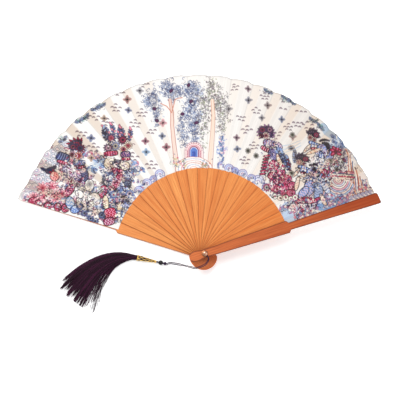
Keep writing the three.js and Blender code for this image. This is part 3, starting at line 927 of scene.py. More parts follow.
def rosette(x, y, radius, outer, inner, heart=ink, edge=ink, petals=0):
    """A flower head seen from the front: two rings of inked petals round a heart."""
    petals = petals or int(6 + radius)
    start = brush.uniform(0, 360)
    for reach, size, tone, shift in ((0.66, 0.36, outer, 0), (0.36, 0.25, inner, 0.5)):
        for index in range(petals):
            lean = start + 360 * (index + shift) / petals
            px, py = x + reach * radius * cos(radians(lean)), y + reach * radius * sin(radians(lean))
            oval(px, py, size * radius, min(0.24 * radius, 2.2 * reach * radius / petals), lean, tone,
                 edge, 0.32)
    oval(x, y, 0.2 * radius, 0.2 * radius, 0, heart, edge, 0.2)


def patterned(x, y, long, wide, lean, base, mark, pitch=1.9, wobble=0.0, square=2.0, edge=ink):
    """An inked bed or tub filled with stripes, wavy where wobble is above 0; square rounds its corners."""
    c, s = cos(radians(lean)), sin(radians(lean))
    pitch, wobble = stripe_growth * pitch, wave_growth * wobble

    def inside(dx, dy, grow):
        a, b = np.abs(dx * c + dy * s) / (long + grow), np.abs(-dx * s + dy * c) / (wide + grow)
        return (1 - (a**square + b**square) ** (1 / square)) * min(long, wide) / fine + 0.5

    def striped(dx, dy):
        along, beside = dx * c + dy * s, -dx * s + dy * c
        wave = np.sin(2 * pi / pitch * (along + wobble * np.sin(2 * pi * beside / (1.7 * pitch))))
        return np.clip((wave - 0.35) * 2.6, 0, 1) * np.clip(inside(dx, dy, -0.3), 0, 1)
    reach = hypot(long, wide) + 1
    dab(x, y, reach, lambda dx, dy: inside(dx, dy, 0.7), edge)
    dab(x, y, reach, lambda dx, dy: inside(dx, dy, 0.0), base)
    dab(x, y, reach, striped, mark)


def frond(x, y, length, lean, bend, leaf, vein, edge=ink, pairs=6, wide=0.3):
    """A bent stem with pairs of pointed leaves, from its foot at (x, y)."""
    heading = radians(lean)
    step = length / pairs
    for index in range(pairs):
        size = length * wide * (0.55 + 0.45 * sin(pi * (index + 0.6) / pairs))
        for side in (-1, 1):
            way = heading + side * 0.85
            px, py = x + 0.5 * size * cos(way), y + 0.5 * size * sin(way)
            oval(px, py, 0.5 * size, 0.17 * size + 0.25, degrees(way),
                 leaf if (index + side) % 3 else vein, edge, 0.3)
        nx, ny = x + step * cos(heading), y + step * sin(heading)
        stroke([(x, y), (nx, ny)], 0.5, edge)
        x, y, heading = nx, ny, heading + radians(bend) / pairs
    oval(x, y, 0.16 * length, 0.06 * length + 0.2, degrees(heading), vein, edge, 0.3)


def thicket(x, y, spread_x, spread_y, count, tones, inks=(ink, navy, wine), size=1.0):
    """Crowded small growth: leaves, buds and tendrils, each with an inked edge."""
    for _ in range(count):
        px, py = x + spread_x * brush.uniform(-1, 1), y + spread_y * brush.uniform(-1, 1)
        tone, line = tones[brush.integers(len(tones))], inks[brush.integers(len(inks))]
        kind, lean, grow = brush.integers(4), brush.uniform(0, 180), size * brush.uniform(0.75, 1.25)
        if kind == 0:
            oval(px, py, 1.9 * grow, 0.8 * grow, lean, tone, line, 0.32)
            stroke([(px - 1.2 * grow * cos(radians(lean)), py - 1.2 * grow * sin(radians(lean))),
                    (px + 1.2 * grow * cos(radians(lean)), py + 1.2 * grow * sin(radians(lean)))], 0.3,
                    line)
        elif kind == 1:
            oval(px, py, 1.1 * grow, 1.0 * grow, lean, tone, line, 0.34)
            oval(px, py, 0.4 * grow, 0.4 * grow, 0, line)
        elif kind == 2:
            scallops(px, py, 1.7 * grow, (line, tone), lean, lean + 200, 0.42, cream)
        else:
            bow(px, py, 1.5 * grow, lean, lean + 240, 0.45, line)
            bow(px + 0.9 * grow, py, 1.0 * grow, lean + 90, lean + 300, 0.42, line)


def bird(x, y, size, face, body, wing, breast):
    """A plump garden bird, facing right for face 1 and left for -1."""
    oval(x - face * 0.95 * size, y + 0.1 * size, 0.75 * size, 0.2 * size, -face * 28, wing, ink, 0.3)
    oval(x, y, 0.8 * size, 0.5 * size, face * 25, body, ink, 0.35)
    oval(x + face * 0.25 * size, y - 0.15 * size, 0.42 * size, 0.3 * size, face * 25, breast)
    oval(x - face * 0.1 * size, y + 0.08 * size, 0.5 * size, 0.22 * size, -face * 10, wing, ink, 0.25)
    oval(x + face * 0.72 * size, y + 0.52 * size, 0.3 * size, 0.27 * size, 0, body, ink, 0.3)
    stroke([(x + face * 0.95 * size, y + 0.55 * size), (x + face * 1.25 * size, y + 0.48 * size)], 0.4, ink)


cold = ((150, 174, 216), (190, 204, 228), (122, 150, 200), (224, 226, 234))
warm_tones = (pink, blush, rose, cream)
mixed = cold + warm_tones

# hills, terraces and water at the far right, under everything else there
for x, y, long, wide, lean, tone in ((150, 141, 17, 7, -40, (160, 184, 212)),
                                     (163, 129, 14, 7, -44, (124, 152, 196)),
                                     (148, 126, 14, 8, 20, (190, 202, 222)),
                                     (128, 66, 36, 14, 22, (186, 196, 222)),
                                     (98, 48, 15, 12, 30, (166, 188, 222)),
                                     (146, 58, 22, 6, 18, (112, 148, 206)),
                                     (118, 62, 12, 6, 30, (216, 186, 198)),
                                     (164, 108, 18, 15, -30, (222, 212, 208)),
                                     (172, 80, 18, 18, -20, (226, 208, 198))):
    oval(x, y, long, wide, lean, tone, None, strength=0.9)
for index in range(17):
    x = 88 + 6 * index
    thicket(x, 20 + 0.34 * x, 4, 4.5, 11, mixed, (navy, slate, wine))
for place in range(15):
    scallops(162 + 1.1 * place, 152 - 3.1 * place + 2 * (place % 3), 4.5, (navy, blue, slate), 190, 330,
             0.5, (176, 196, 222))
for row in range(9):
    for column in range(9):
        x, y = 146 + 3.9 * column + 1.9 * (row % 2), 99 + 3.0 * row - 0.9 * column
        if hypot(x, y) < leaf_rim - 2:
            scallops(x, y, 2.5, (slate, (206, 190, 180)), 10, 175, 0.5, (232, 224, 214))
curls(140, 100, 8, 6, 90, (slate, blue, navy, moss), 0.9, 0.45)
curls(161, 112, 4.5, 7, 150, (ink, slate, grey, (96, 84, 116)), 1.0, 0.5)
curls(152, 104, 6, 5, 90, (ink, slate, wine, grey), 1.0, 0.5)
for index in range(16):
    bark = (rust, (236, 214, 198), (112, 52, 48), (206, 150, 120), slate, (240, 226, 214),
            (96, 60, 70))[index % 7]
    waved([(166 + 1.5 * index, 122 - 3.6 * index), (170 + 1.5 * index, 66 + 0.3 * index)], 0.45, 1.1, bark)
for ring, ring_tone in enumerate(((238, 222, 216), (212, 160, 172), (204, 212, 226), cream, (216, 150, 162),
                                  (168, 176, 200), (236, 206, 190), sky, (222, 176, 186))):
    for width, inset, tone in ((1.5, 0, ring_tone), (0.45, 0.9, (70, 62, 80))):
        bow(154, 85, 2.4 + 2.2 * ring - inset, 182 + 2 * ring, 358 - 2 * ring, width, tone)
        bow(98, 50, 2.4 + 2.0 * ring - inset, -70, 110, width, tone)
for drop, tone in enumerate((wine, pink, slate, cream, rose)):
    stroke([(128, 92 - 1.7 * drop), (150, 97 - 1.7 * drop), (173, 95 - 1.7 * drop)], 1.1, tone)
    stroke([(128, 91.2 - 1.7 * drop), (150, 96.2 - 1.7 * drop), (173, 94.2 - 1.7 * drop)], 0.45, ink)
for place in range(14):
    tone = ((112, 148, 206), pink, (206, 214, 232))[place % 3]
    oval(126 + 4.2 * place, 43.5 + 1.5 * place, 2.2, 1.1, 20, tone, navy, 0.3)
for place in range(26):
    tone = (navy, (236, 240, 246), slate)[place % 3]
    bow(112 + 2.9 * place, 47 + 0.75 * place + 6 * (place % 3), 2.4, 20, 160, 0.55, tone)

# scales and small growth along both lower edges, down to the guards
for place in range(13):
    scallops(138 + 4.4 * place, 54.5 + 1.45 * place, 2.5, (navy, lilac, slate), 0, 300, 0.5,
             (226, 222, 236))
    thicket(140 + 4.2 * place, 60 + 1.5 * place, 2.5, 1.6, 4, (lilac, blush, cream), (slate, wine, navy),
            0.6)
for x, y in ((105, 40), (110, 43), (116, 41), (120, 46), (112, 38), (102, 44)):
    thicket(x, y, 3, 2.4, 7, (sky, (170, 176, 220), blush), (navy, slate, wine), 0.8)
for place in range(26):
    x = -102 - 3.75 * place
    thicket(x, -0.325 * x + 1.5, 2.8, 2.2, 6, (lilac, blush, (214, 200, 216), sky), (ink, navy, wine), 0.8)

# beds along the lower left: a crowded ground of blue, pink and wine
for place in range(230):
    bearing, reach = brush.uniform(120, 161), brush.uniform(100, 204)
    floor = 88 + 56 * ((bearing - 120) / 41) ** 0.8
    x, y = reach * cos(radians(bearing)), reach * sin(radians(bearing))
    if y > floor or x > -66:
        continue
    pinker = np.clip((-x - 120) / 50, 0, 1) > brush.random()
    tones = (blush, pink, (236, 160, 172), (214, 200, 216)) if pinker else cold + (blush, (228, 222, 226))
    oval(x, y, brush.uniform(3, 5), brush.uniform(2, 4), brush.uniform(0, 180), tones[brush.integers(4)],
         None, strength=0.8)
    thicket(x, y, 3.6, 3.2, 6, tones, (ink, navy, wine, slate), 0.9)

# the left tree: a slim pinkish trunk, forked, under hanging blue-grey foliage
trunk = [(-38.5, 178), (-35.8, 162), (-35.6, 147), (-33.6, 127), (-30.2, 101)]
for x, y, wide, high, count in ((-60, 181, 5, 5, 70), (-55, 170, 4, 6, 70), (-41, 194, 4, 7, 90),
                                (-30, 186, 5, 5, 70), (-16, 193, 5, 5, 80), (-13, 177, 4, 8, 110),
                                (-17, 163, 4, 7, 90), (-12, 147, 3, 8, 90), (-26, 147, 2, 9, 60),
                                (-53, 154, 2.5, 6, 50), (-37, 183, 5, 5, 50), (-5, 188, 3, 7, 50),
                                (-21, 133, 3, 7, 60), (-6, 158, 2.5, 7, 40), (-64, 172, 3, 4, 30),
                                (-9, 130, 2.5, 6, 50)):
    oval(x, y, wide * 1.5, high * 1.3, 80, (176, 188, 212), None, strength=0.3)
    curls(x, y, wide, high, int(0.85 * count),
          ((74, 86, 120), (96, 108, 142), (52, 58, 92), grey, (140, 156, 188)), 1.5, 0.5, 0.9)
for side, tone, width in ((0, (232, 200, 186), 3.0), (-1.5, (176, 106, 88), 0.7),
                          (1.5, (170, 104, 90), 0.7)):
    stroke([(x + side * (1 + 0.008 * (178 - y)), y) for x, y in trunk], width, tone)
stroke([(-36, 162), (-42.2, 169.3), (-49.1, 172)], 1.1, (190, 122, 104))
stroke([(-35.6, 164), (-32.5, 177.3), (-24.2, 180)], 1.0, (190, 122, 104))
for x, y in ((-56, 166), (-17, 196), (-14, 176), (-37, 188), (-8, 150), (-24, 160), (-53, 152)):
    oval(x, y, 2.3, 1.8, brush.uniform(0, 180), (78, 40, 78), ink, 0.3)

# the right tree: a straight pale trunk and a tall crown of fine grey dots and leaves
trunk = [(10.6, 178), (11.6, 159), (10.6, 140), (9, 119), (7.5, 99)]
for x, y, wide, high, count in ((9, 196, 3.5, 5, 90), (13, 184, 6, 7, 150), (2, 174, 4, 9, 130),
                                (22, 176, 5, 7, 110), (23, 160, 4, 8, 100), (15, 168, 4, 8, 90),
                                (2, 153, 3.5, 9, 90), (-1, 135, 3, 8, 60), (21, 146, 3.5, 6, 50)):
    curls(x, y, wide, high, int(0.75 * count), (grey, (84, 84, 92), (126, 118, 120), moss, (104, 92, 98)),
          0.95, 0.5, 0.95)
for side, tone, width in ((0, (238, 208, 190), 3.2), (-1.6, (196, 140, 116), 0.6),
                          (1.6, (184, 130, 112), 0.6)):
    stroke([(x + side * (1 + 0.008 * (178 - y)), y) for x, y in trunk], width, tone)

# the arched gate between them, on its mound of rings
for radius, tone in ((10.4, (150, 110, 122)), (9.9, (250, 240, 236)), (8.6, (188, 96, 112)),
                     (8.0, (250, 240, 236)), (6.9, (206, 116, 130)), (6.0, (246, 226, 226)),
                     (5.3, (124, 40, 76)), (4.2, (196, 198, 226)), (3.3, (86, 118, 192))):
    oval(-10.7, 117.5, radius, radius, 0, tone)
    for drop in np.linspace(0, 16, 12):
        stroke([(-10.7 - radius, 117.5 - drop), (-10.7 + radius, 117.5 - drop)], 1.6, tone)
for turn in range(0, 181, 18):
    oval(-10.7 + 9.2 * cos(radians(turn)), 117.5 + 9.2 * sin(radians(turn)), 0.8, 0.5, turn,
         (150, 110, 122))
for drop in np.linspace(0, 14, 8):
    for side in (-1, 1):
        oval(-10.7 + side * 7.4, 116 - drop, 0.5, 0.7, 0, (150, 60, 86))
oval(-10.7, 113.5, 1.5, 4.2, 0, (56, 84, 166), navy, 0.3)
for ring in range(12):
    radius = 21 - 1.65 * ring
    oval(-10.7, 96, radius, radius * 0.68, 0,
         ((170, 96, 90), (250, 242, 234), (120, 140, 186), (250, 244, 238),
         (196, 120, 116), (248, 238, 230))[ring % 6])
    oval(-10.7, 96, radius - 0.7, (radius - 0.7) * 0.68, 0, (249, 243, 237))
curls(1, 101, 3.5, 2.5, 40, (moss, rust, slate), 0.8, 0.45)
curls(-28, 103, 4.5, 3.0, 50, (moss, (200, 190, 120), slate, rose), 0.9, 0.45)
curls(21, 122, 2.6, 8, 70, (slate, blue, pink, lilac), 0.9, 0.45)
for place in range(5):
    frond(20.5 + 0.8 * (place % 2), 104 + 6.5 * place, 5, 60 + 60 * (place % 2), 20, sky, blue, slate, 3)

# lilac clouds of scallops along the inner edge
for x, y, radius in ((-48.7, 89.5, 5.4), (-56, 84, 4), (-62.8, 79, 5.2), (-72, 70.5, 5), (-80, 62, 4.6),
                     (19.6, 101, 3.6), (28.9, 97, 5), (44, 90.5, 5.4), (61.9, 82, 7), (54, 86, 4.4),
                     (70, 75, 4.6), (36, 94, 3.8), (-87, 54, 4)):
    scallops(x, y, radius, ((84, 84, 148), (176, 176, 220), (96, 120, 186), (206, 206, 232),
                            (130, 84, 136)), -30, 210, 0.65)
    thicket(x, y - 1, radius, 2.2, 6, ((190, 194, 226), (212, 196, 220)), (navy, slate), 0.7)

# small flowers and petals strewn over the field
for x, y, tone in ((-87.2, 176.5, (134, 78, 74)), (-85.6, 163.6, (76, 84, 120)),
                   (-112.6, 152.9, (150, 118, 96)), (-126.4, 129.5, (76, 84, 120)),
                   (-65.7, 127.7, (120, 60, 76)), (-46.8, 134, slate), (-42, 121, (126, 60, 72)),
                   (-64.5, 114.8, (104, 138, 178)), (-125.4, 107, (160, 120, 96)),
                   (-46.1, 149, (196, 120, 130)), (52.5, 192.9, (110, 84, 92)),
                   (53, 179.3, (104, 104, 120)), (75.4, 173.6, (116, 98, 100)), (91.4, 156.8, slate),
                   (38.2, 133.4, (110, 80, 92)), (38.7, 119.7, slate), (103.4, 136.2, (140, 104, 98)),
                   (29.7, 167.8, grey), (-73, 187, grey), (68, 158, grey)):
    star_flower(x, y, 3.9 + brush.uniform(-0.4, 0.5), tone)
for x, y in ((-99.3, 165.4), (-123.5, 154), (-137, 135.3), (-77, 148), (-123.1, 118.8), (-58, 99.8),
             (-79.2, 109.2), (-67.6, 195.3), (-95.7, 184.3), (-108, 148), (61.7, 166.2), (93.4, 173.3),
             (50.8, 142), (98.6, 146.9), (47.2, 106.3), (114.4, 166), (36.5, 194.6), (58, 124), (72, 184),
             (84, 140), (110, 152), (-150, 118), (-70, 160), (-60, 140), (44, 158), (122, 150)):
    petal_group(x, y, brush.uniform(0.85, 1.1))

# sprays of leaves that run over the rim, and scales of rock at the far left
for x, y, lean in ((-116.5, 167.9, 28), (-139.6, 149.6, 38), (-157, 127, 44), (75.9, 190, -22),
                   (103.6, 178.5, -32), (128, 156, -44), (136, 148, -46), (-134, 154, 40), (96, 182, -28),
                   (-122, 164, 34)):
    for side in (-1, 1):
        frond(x, y, 5.5, lean + 90 - 90 * side, 25 * side, (150, 170, 200), (110, 120, 146), (64, 66, 88),
              4, 0.42)
    curls(x, y, 3.2, 1.6, 22, (slate, ink, grey, (110, 150, 140)), 1.0, 0.45)
for row in range(7):
    for column in range(4):
        x, y = -168 - 3.6 * row + 4.6 * column, 114 - 8.0 * row + 2.6 * column
        if hypot(x, y) < leaf_rim - 2:
            scallops(x, y, 3.6, ((110, 112, 124), (190, 200, 214), slate, (206, 190, 196)), 0, 300, 0.5,
                     (232, 230, 232))

for x, y, radius in ((-195, 63, 4.6), (-192.5, 72.5, 4.6), (-189, 82, 4.8), (-184.5, 91.5, 4.6),
                     (-180, 101, 4.4), (-174.5, 110, 4.4), (-186, 73, 3.8), (-182, 82, 3.8)):
    oval(x, y, radius, radius, 0, (232, 228, 232), (104, 98, 116), 0.4)
    for ring in range(3):
        bow(x, y, radius * (0.78 - 0.24 * ring), 70 + 60 * ring, 350 + 60 * ring, 0.55,
            (grey, (170, 120, 150), slate)[ring])
thicket(-190, 60, 7, 2.5, 22, (blush, lilac, (206, 140, 170)), (ink, wine, navy), 0.8)

# two tall clusters left of the middle: plumes and flower heads over patterned ovals, stacked like figures
plum, pale_clay, dusk = (92, 44, 72), (240, 222, 196), (64, 62, 104)
for x, y, lean in ((-106, 132, 112), (-101, 134, 96), (-97, 131, 70), (-90, 131, 98), (-84, 128, 74)):
    frond(x, y, 14, lean, 30, (84, 92, 140), pink, ink, 5, 0.26)
frond(-109, 128, 15, 118, -34, navy, (150, 170, 210), ink, 6, 0.24)
rosette(-104, 130, 5.6, dusk, (206, 96, 124), wine)
rosette(-99, 121, 5.2, (140, 150, 196), cream, navy)
rosette(-107, 119, 5.4, (84, 52, 88), (214, 160, 176), ink)
rosette(-91, 128.5, 6.0, plum, (176, 60, 88), ink)
rosette(-85, 122, 5.0, (238, 214, 190), (206, 120, 116), wine)
rosette(-90, 117.5, 4.4, (236, 206, 180), rose, ink)
patterned(-104, 112.5, 7.6, 2.8, 10, wine, pink, 1.7, 0.0, 3.0)
patterned(-87.5, 111.5, 5.4, 3.2, 4, dusk, (190, 120, 150), 1.6, 0.5, 2.6)
patterned(-87, 106.5, 4.6, 1.6, 0, wine, pink, 1.5, 0.0, 3.0)
patterned(-104.5, 101, 5.8, 6.4, 90, pale_clay, (150, 140, 128), 2.6, 1.1, 2.6)
patterned(-96, 101.5, 3.6, 5.6, 90, (128, 124, 132), (70, 66, 80), 1.6, 0.7)
patterned(-88.5, 98.5, 4.6, 5.4, 90, pale_clay, (160, 140, 140), 2.4, 0.9, 2.6)
patterned(-96, 93, 8.4, 2.1, -14, wine, (236, 160, 180), 1.7, 0.0, 3.0)
patterned(-106, 84.5, 9.0, 5.8, 76, (120, 132, 160), (58, 62, 92), 1.7, 0.8)
patterned(-86, 84, 9.2, 4.6, 110, (112, 122, 150), (52, 56, 84), 1.6, 0.7)
patterned(-97, 80, 12.0, 3.9, 62, (136, 24, 62), (242, 170, 190), 2.0, 1.0)
for place in range(6):
    rosette(-112 + 1.4 * place, 92 - 5.8 * place, 2.5, (200, 206, 224), (92, 110, 160), ink, ink, 6)
patterned(-112, 69, 7.6, 4.6, 70, (146, 28, 64), (240, 160, 184), 1.9, 1.0)
rosette(-99.5, 66, 5.4, (86, 110, 176), (206, 216, 234), wine)
rosette(-90.5, 63, 5.0, (130, 150, 204), cream, ink)
rosette(-82, 67, 5.2, (110, 136, 196), (214, 190, 206), navy)
rosette(-97, 56.5, 4.2, (196, 202, 222), (110, 130, 180), ink)
patterned(-108, 57, 7.4, 2.8, 96, (248, 234, 206), (212, 190, 160), 3.4, 0.4, 2.6)
patterned(-92.5, 49, 8.6, 2.8, 82, (248, 234, 206), (212, 190, 160), 3.4, 0.4, 2.6)
patterned(-102.5, 44.5, 6.4, 6.4, 14, (150, 20, 54), (244, 160, 186), 2.1, 1.1, 3.2)
patterned(-104, 36, 5.8, 4.0, 14, (132, 30, 74), (236, 206, 222), 1.9, 0.9, 3.0)
thicket(-91, 42, 6, 8, 40, cold + (cream,), (ink, slate, navy), 0.8)
thicket(-101, 72, 12, 22, 60, ((130, 120, 160), (206, 160, 180), cream), (ink, navy, wine), 0.7)
thicket(-84, 56, 6, 9, 34, cold, (navy, slate, ink), 0.8)

# a third cluster with a navy top, stacked in the same way, and pink peonies in the far left corner
for lean in (150, 125, 100, 75, 52):
    frond(-142, 119, 10.5, lean, 24, (70, 54, 84), wine, ink, 5, 0.3)
rosette(-146, 119, 4.8, (56, 50, 84), (150, 60, 84), ink)
rosette(-138, 118, 5.4, (110, 36, 64), (64, 56, 90), ink)
rosette(-139.5, 109, 4.9, (224, 156, 140), (176, 60, 70), wine)
rosette(-146.5, 110, 3.6, (190, 150, 170), wine, ink)
patterned(-156.5, 107, 7.2, 4.8, -22, (44, 52, 92), (132, 146, 190), 1.6, 0.0, 4.0)
patterned(-156.5, 101, 6.4, 1.7, -16, (150, 26, 62), (236, 150, 176), 1.6, 0.0, 3.0)
patterned(-138.5, 101, 6.6, 2.4, 4, (126, 138, 184), (62, 66, 110), 1.6, 0.4, 3.0)
patterned(-138, 96.5, 6.2, 1.6, 0, wine, (240, 200, 210), 1.6, 0.0, 3.0)
patterned(-158, 93, 6.4, 1.9, 100, (242, 206, 200), (176, 110, 120), 2.6, 0.5)
patterned(-151, 92, 6.6, 4.6, 118, (204, 196, 212), (110, 84, 116), 1.8, 0.9)
patterned(-143, 84, 8.4, 6.2, 20, (184, 168, 190), (108, 60, 96), 1.9, 0.9)
patterned(-132, 88, 8.0, 3.6, 98, (92, 92, 122), (50, 46, 70), 1.6, 0.6)
rosette(-148, 80, 4.8, (226, 180, 196), wine, ink)
rosette(-137, 81, 4.4, (206, 186, 206), (150, 40, 84), ink)
patterned(-148, 70, 8.2, 4.0, 60, (112, 26, 58), (226, 150, 176), 1.9, 0.9)
thicket(-146, 88, 13, 20, 54, ((190, 170, 196), (120, 110, 150), blush), (ink, navy, wine), 0.7)
bird(-170, 92, 6.6, 1, (66, 58, 82), navy, wine)
patterned(-165, 85.5, 4.6, 5.2, 20, (232, 158, 150), (150, 40, 60), 1.9, 0.8)
for x, y, radius in ((-177, 72, 6.2), (-166, 74, 6.0), (-186, 62, 5.4), (-175, 62, 6.4), (-164, 61.5, 6.2),
                     (-156, 66, 4.6)):
    rosette(x, y, radius, (242, 178, 182), (230, 140, 152), (150, 34, 66), (126, 36, 62), 9)
for x, y, lean in ((-188, 57, 60), (-181, 54, 92), (-171, 52, 80), (-160, 51, 100), (-152, 50, 84)):
    patterned(x, y, 4.6, 3.6, lean, (128, 22, 54), (232, 140, 166), 1.8, 0.8)
    thicket(x + 4, y + 1, 5, 3, 12, (blush, (206, 110, 140), (176, 190, 220)), (ink, wine), 0.8)
patterned(-147, 56, 6.4, 4.6, 100, (130, 160, 212), (236, 240, 246), 2.4, 1.2)
patterned(-141, 49, 5.2, 4.2, 20, (84, 112, 176), (190, 206, 234), 1.9, 0.8)
for x, y, long, wide, lean in ((-126.5, 76, 6.2, 4.6, 90), (-134, 58, 8.4, 5.6, 100),
                               (-122, 60, 7.8, 7.0, 20), (-137, 66, 4.8, 3.6, 130),
                               (-118, 43, 6.4, 4.4, 60)):
    patterned(x, y, long, wide, lean, (246, 240, 230), (196, 190, 188), 4.2, 1.2, 2.3)
rosette(-126.5, 77, 3.6, cream, (226, 214, 206), grey)
for x, y, lean in ((-130, 70, 150), (-118, 67, 30), (-128, 50, 200)):
    frond(x, y, 9, lean, 30, cream, (216, 214, 220), ink, 5, 0.32)
thicket(-126, 59, 13, 15, 34, (cream, (236, 232, 228)), (ink, slate), 0.8)
for x, y in ((-131, 45), (-112, 43), (-124, 39), (-136, 52), (-119, 36)):
    rosette(x, y, 4.0, (92, 104, 156), (160, 176, 214), ink)
for index in range(7):
    stroke([(-130 + 2.4 * index, 92 + 0.5 * index), (-119 + 1.2 * index, 104 + 0.3 * index)], 0.5,
           (110, 140, 176))
    stroke([(-131 + 1.2 * index, 94 + 1.7 * index), (-118 + 1.2 * index, 90 + 1.9 * index)], 0.4,
           (130, 156, 186))

# the tall cluster on the right reads as a robed figure: plum flower heads, ovals, reeds, wine-red blossom
for turn in range(-30, 211, 24):
    frond(72.3, 139, 9.5, turn, 20, (88, 60, 96), (150, 110, 150), ink, 4, 0.34)
for x, y, size, outer, inner in ((68, 143, 5.0, (92, 64, 100), (150, 40, 84)),
                                 (76.5, 143.5, 4.6, (84, 54, 88), (206, 150, 170)),
                                 (72, 136, 4.4, (236, 206, 190), (200, 110, 120)),
                                 (66.5, 135.5, 3.0, plum, wine)):
    rosette(x, y, size, outer, inner)
patterned(77, 127, 8.2, 4.2, -12, (136, 140, 180), wine, 1.8, 0.5, 2.8)
patterned(86, 124, 4.8, 3.4, -34, (222, 190, 206), (84, 64, 110), 1.6, 0.4)
patterned(71, 120.5, 5.4, 2.4, -24, (150, 30, 66), (240, 196, 206), 1.6, 0.0, 3.0)
patterned(79.5, 114, 7.0, 5.2, 96, (134, 128, 166), (70, 66, 116), 1.9, 0.9)
for x, y, length, lean, tone in ((94, 99, 25, 106, navy), (96.5, 96, 24, 102, (70, 88, 140)),
                                 (91.5, 99, 20, 108, (44, 50, 92)), (99, 95, 17, 98, (120, 40, 76))):
    frond(x, y, length, lean, 12, tone, (130, 150, 196), ink, 8, 0.15)
patterned(86.5, 106, 9.0, 2.1, 104, (246, 222, 202), (206, 160, 140), 3.2, 0.4)
patterned(91, 93, 6.2, 1.9, 100, (246, 222, 202), (206, 160, 140), 3.2, 0.4)
patterned(80, 101, 6.6, 5.4, 60, (156, 34, 76), (238, 168, 190), 1.9, 0.9)
for x, y, radius in ((88, 92, 5.2), (78, 89, 5.4), (84, 82, 6.0), (94, 84, 6.4), (100, 77, 5.6),
                     (90, 73, 6.4), (81, 74, 5.4), (98, 69, 5.0)):
    patterned(x, y, radius, radius * 0.86, 37 * radius, (144, 24, 66), (236, 150, 180), 1.8, 1.0)
    rosette(x + 1.5, y - 1, 2.4, (240, 176, 196), wine, ink, (90, 12, 44), 6)
for index in range(7):
    patterned(67 + 0.9 * index, 91 + 3.5 * index, 3.4, 0.9, 10, (150, 26, 66), pink, 1.5, 0.0, 3.0)
rosette(71, 75, 4.6, (176, 70, 110), cream, navy)
for x, y in ((80, 65), (86, 63), (92, 63.5), (98, 62), (103, 64)):
    scallops(x, y, 3.2, (ink, cream, grey), 0, 360, 0.5, cream)
    oval(x, y, 0.8, 0.8, 0, wine)
thicket(85, 84, 13, 20, 60, ((176, 60, 100), (226, 150, 176), (206, 190, 214)), (ink, wine, navy), 0.7)
frond(104, 105, 14, 80, 20, (150, 160, 190), grey, ink, 6, 0.28)
rosette(101, 122, 3.4, (210, 196, 190), grey, ink)

# two more clusters that read as figures, dark at the top, over blue beds tied with wine-red bands
for x, y in ((126, 136), (112, 106.5)):
    for lean in (150, 120, 92, 64, 36, 8):
        frond(x + 0.5, y + 1, 8.5, lean, -26, (58, 46, 62), (96, 76, 96), ink, 5, 0.36)
    rosette(x + 5, y + 2.5, 2.9, (176, 30, 80), pink, ink)
    rosette(x - 2.5, y - 1, 3.6, (236, 204, 184), (206, 130, 120), (96, 50, 60))
    rosette(x + 2.5, y - 3.5, 3.2, (240, 216, 196), (220, 160, 150), wine)
    patterned(x + 3, y - 8.5, 7.4, 2.0, -18, (96, 120, 180), (226, 230, 240), 1.9, 0.0, 3.0)
    patterned(x + 4.5, y - 12, 7.6, 2.0, -16, (238, 240, 244), (74, 92, 156), 2.0, 0.0, 3.0)
    patterned(x + 5.5, y - 15.2, 7.0, 1.8, -14, (150, 26, 62), (240, 200, 206), 1.8, 0.0, 3.0)
    patterned(x + 15, y - 17.5, 11, 6.6, -38, (118, 140, 196), (196, 176, 208), 2.0, 0.5)
    patterned(x + 8, y - 21, 6.6, 3.4, -30, (96, 116, 172), (216, 220, 236), 1.9, 0.7)
    patterned(x + 1, y - 17.5, 8.4, 1.6, 22, (246, 222, 200), (200, 150, 130), 3.0, 0.4)
    patterned(x - 6.5, y - 14, 6.2, 1.4, 48, (246, 222, 200), (200, 150, 130), 3.0, 0.4)
    for index in range(4):
        frond(x + 9 + 2.4 * index, y - 5 - 2.2 * index, 10, 34 - 30 * index, -70, ink, (72, 60, 84), ink,
              6, 0.2)
for x, y in ((153.5, 119), (141, 91.5)):
    for lean in (20, 60, 120, 160, 215, 325):
        oval(x + 3.6 * cos(radians(lean)), y + 3.6 * sin(radians(lean)), 3.8, 2.0, lean, wine, ink, 0.5)
        oval(x + 4 * cos(radians(lean)), y + 4 * sin(radians(lean)), 1.8, 0.7, lean, (214, 96, 128))
    oval(x, y, 1.7, 1.7, 0, (100, 12, 44), ink, 0.3)
for x, y, long, wide, lean, base, mark in (
        (121, 78, 13, 6.4, 66, (122, 144, 200), (222, 186, 200)),
        (130, 70, 11, 4.6, 78, (150, 172, 216), (92, 104, 160)),
        (113, 70, 8, 4.2, 50, (120, 140, 192), (230, 190, 204)),
        (139, 76, 8, 3.4, 110, (206, 214, 234), (110, 130, 184)),
        (106, 80, 8.4, 2.0, 74, (246, 222, 204), (204, 160, 144)),
        (135, 62, 7, 2.4, 118, (246, 222, 204), (204, 160, 144))):
    patterned(x, y, long, wide, lean, base, mark, 2.0, 0.6)
for x, y in ((100, 92), (60, 112), (153, 97), (158, 106), (146, 108), (103, 138), (51, 118)):
    rosette(x, y, 3.2, (206, 202, 190), moss, ink)
for index in range(9):
    patterned(105 + 2.9 * index, 56.5 + 0.9 * index + 2.2 * sin(index * 0.7), 3.8, 1.5, 130 - 13 * index,
              wine, pink, 1.8, 0.5)
thicket(134, 88, 13, 12, 90, mixed, (ink, navy, slate), 0.8)
thicket(112, 54, 18, 8, 110, mixed, (slate, wine, navy), 0.8)
thicket(150, 62, 18, 7, 70, ((150, 178, 220), sky, blush), (slate, navy, wine), 0.8)
thicket(156, 132, 9, 8, 44, cold, (slate, navy), 0.8)
for index in range(3):
    waved([(90, 116 + 4 * index), (102, 119 + 4 * index), (112, 125 + 3 * index)], 0.4, 0.6, sky)

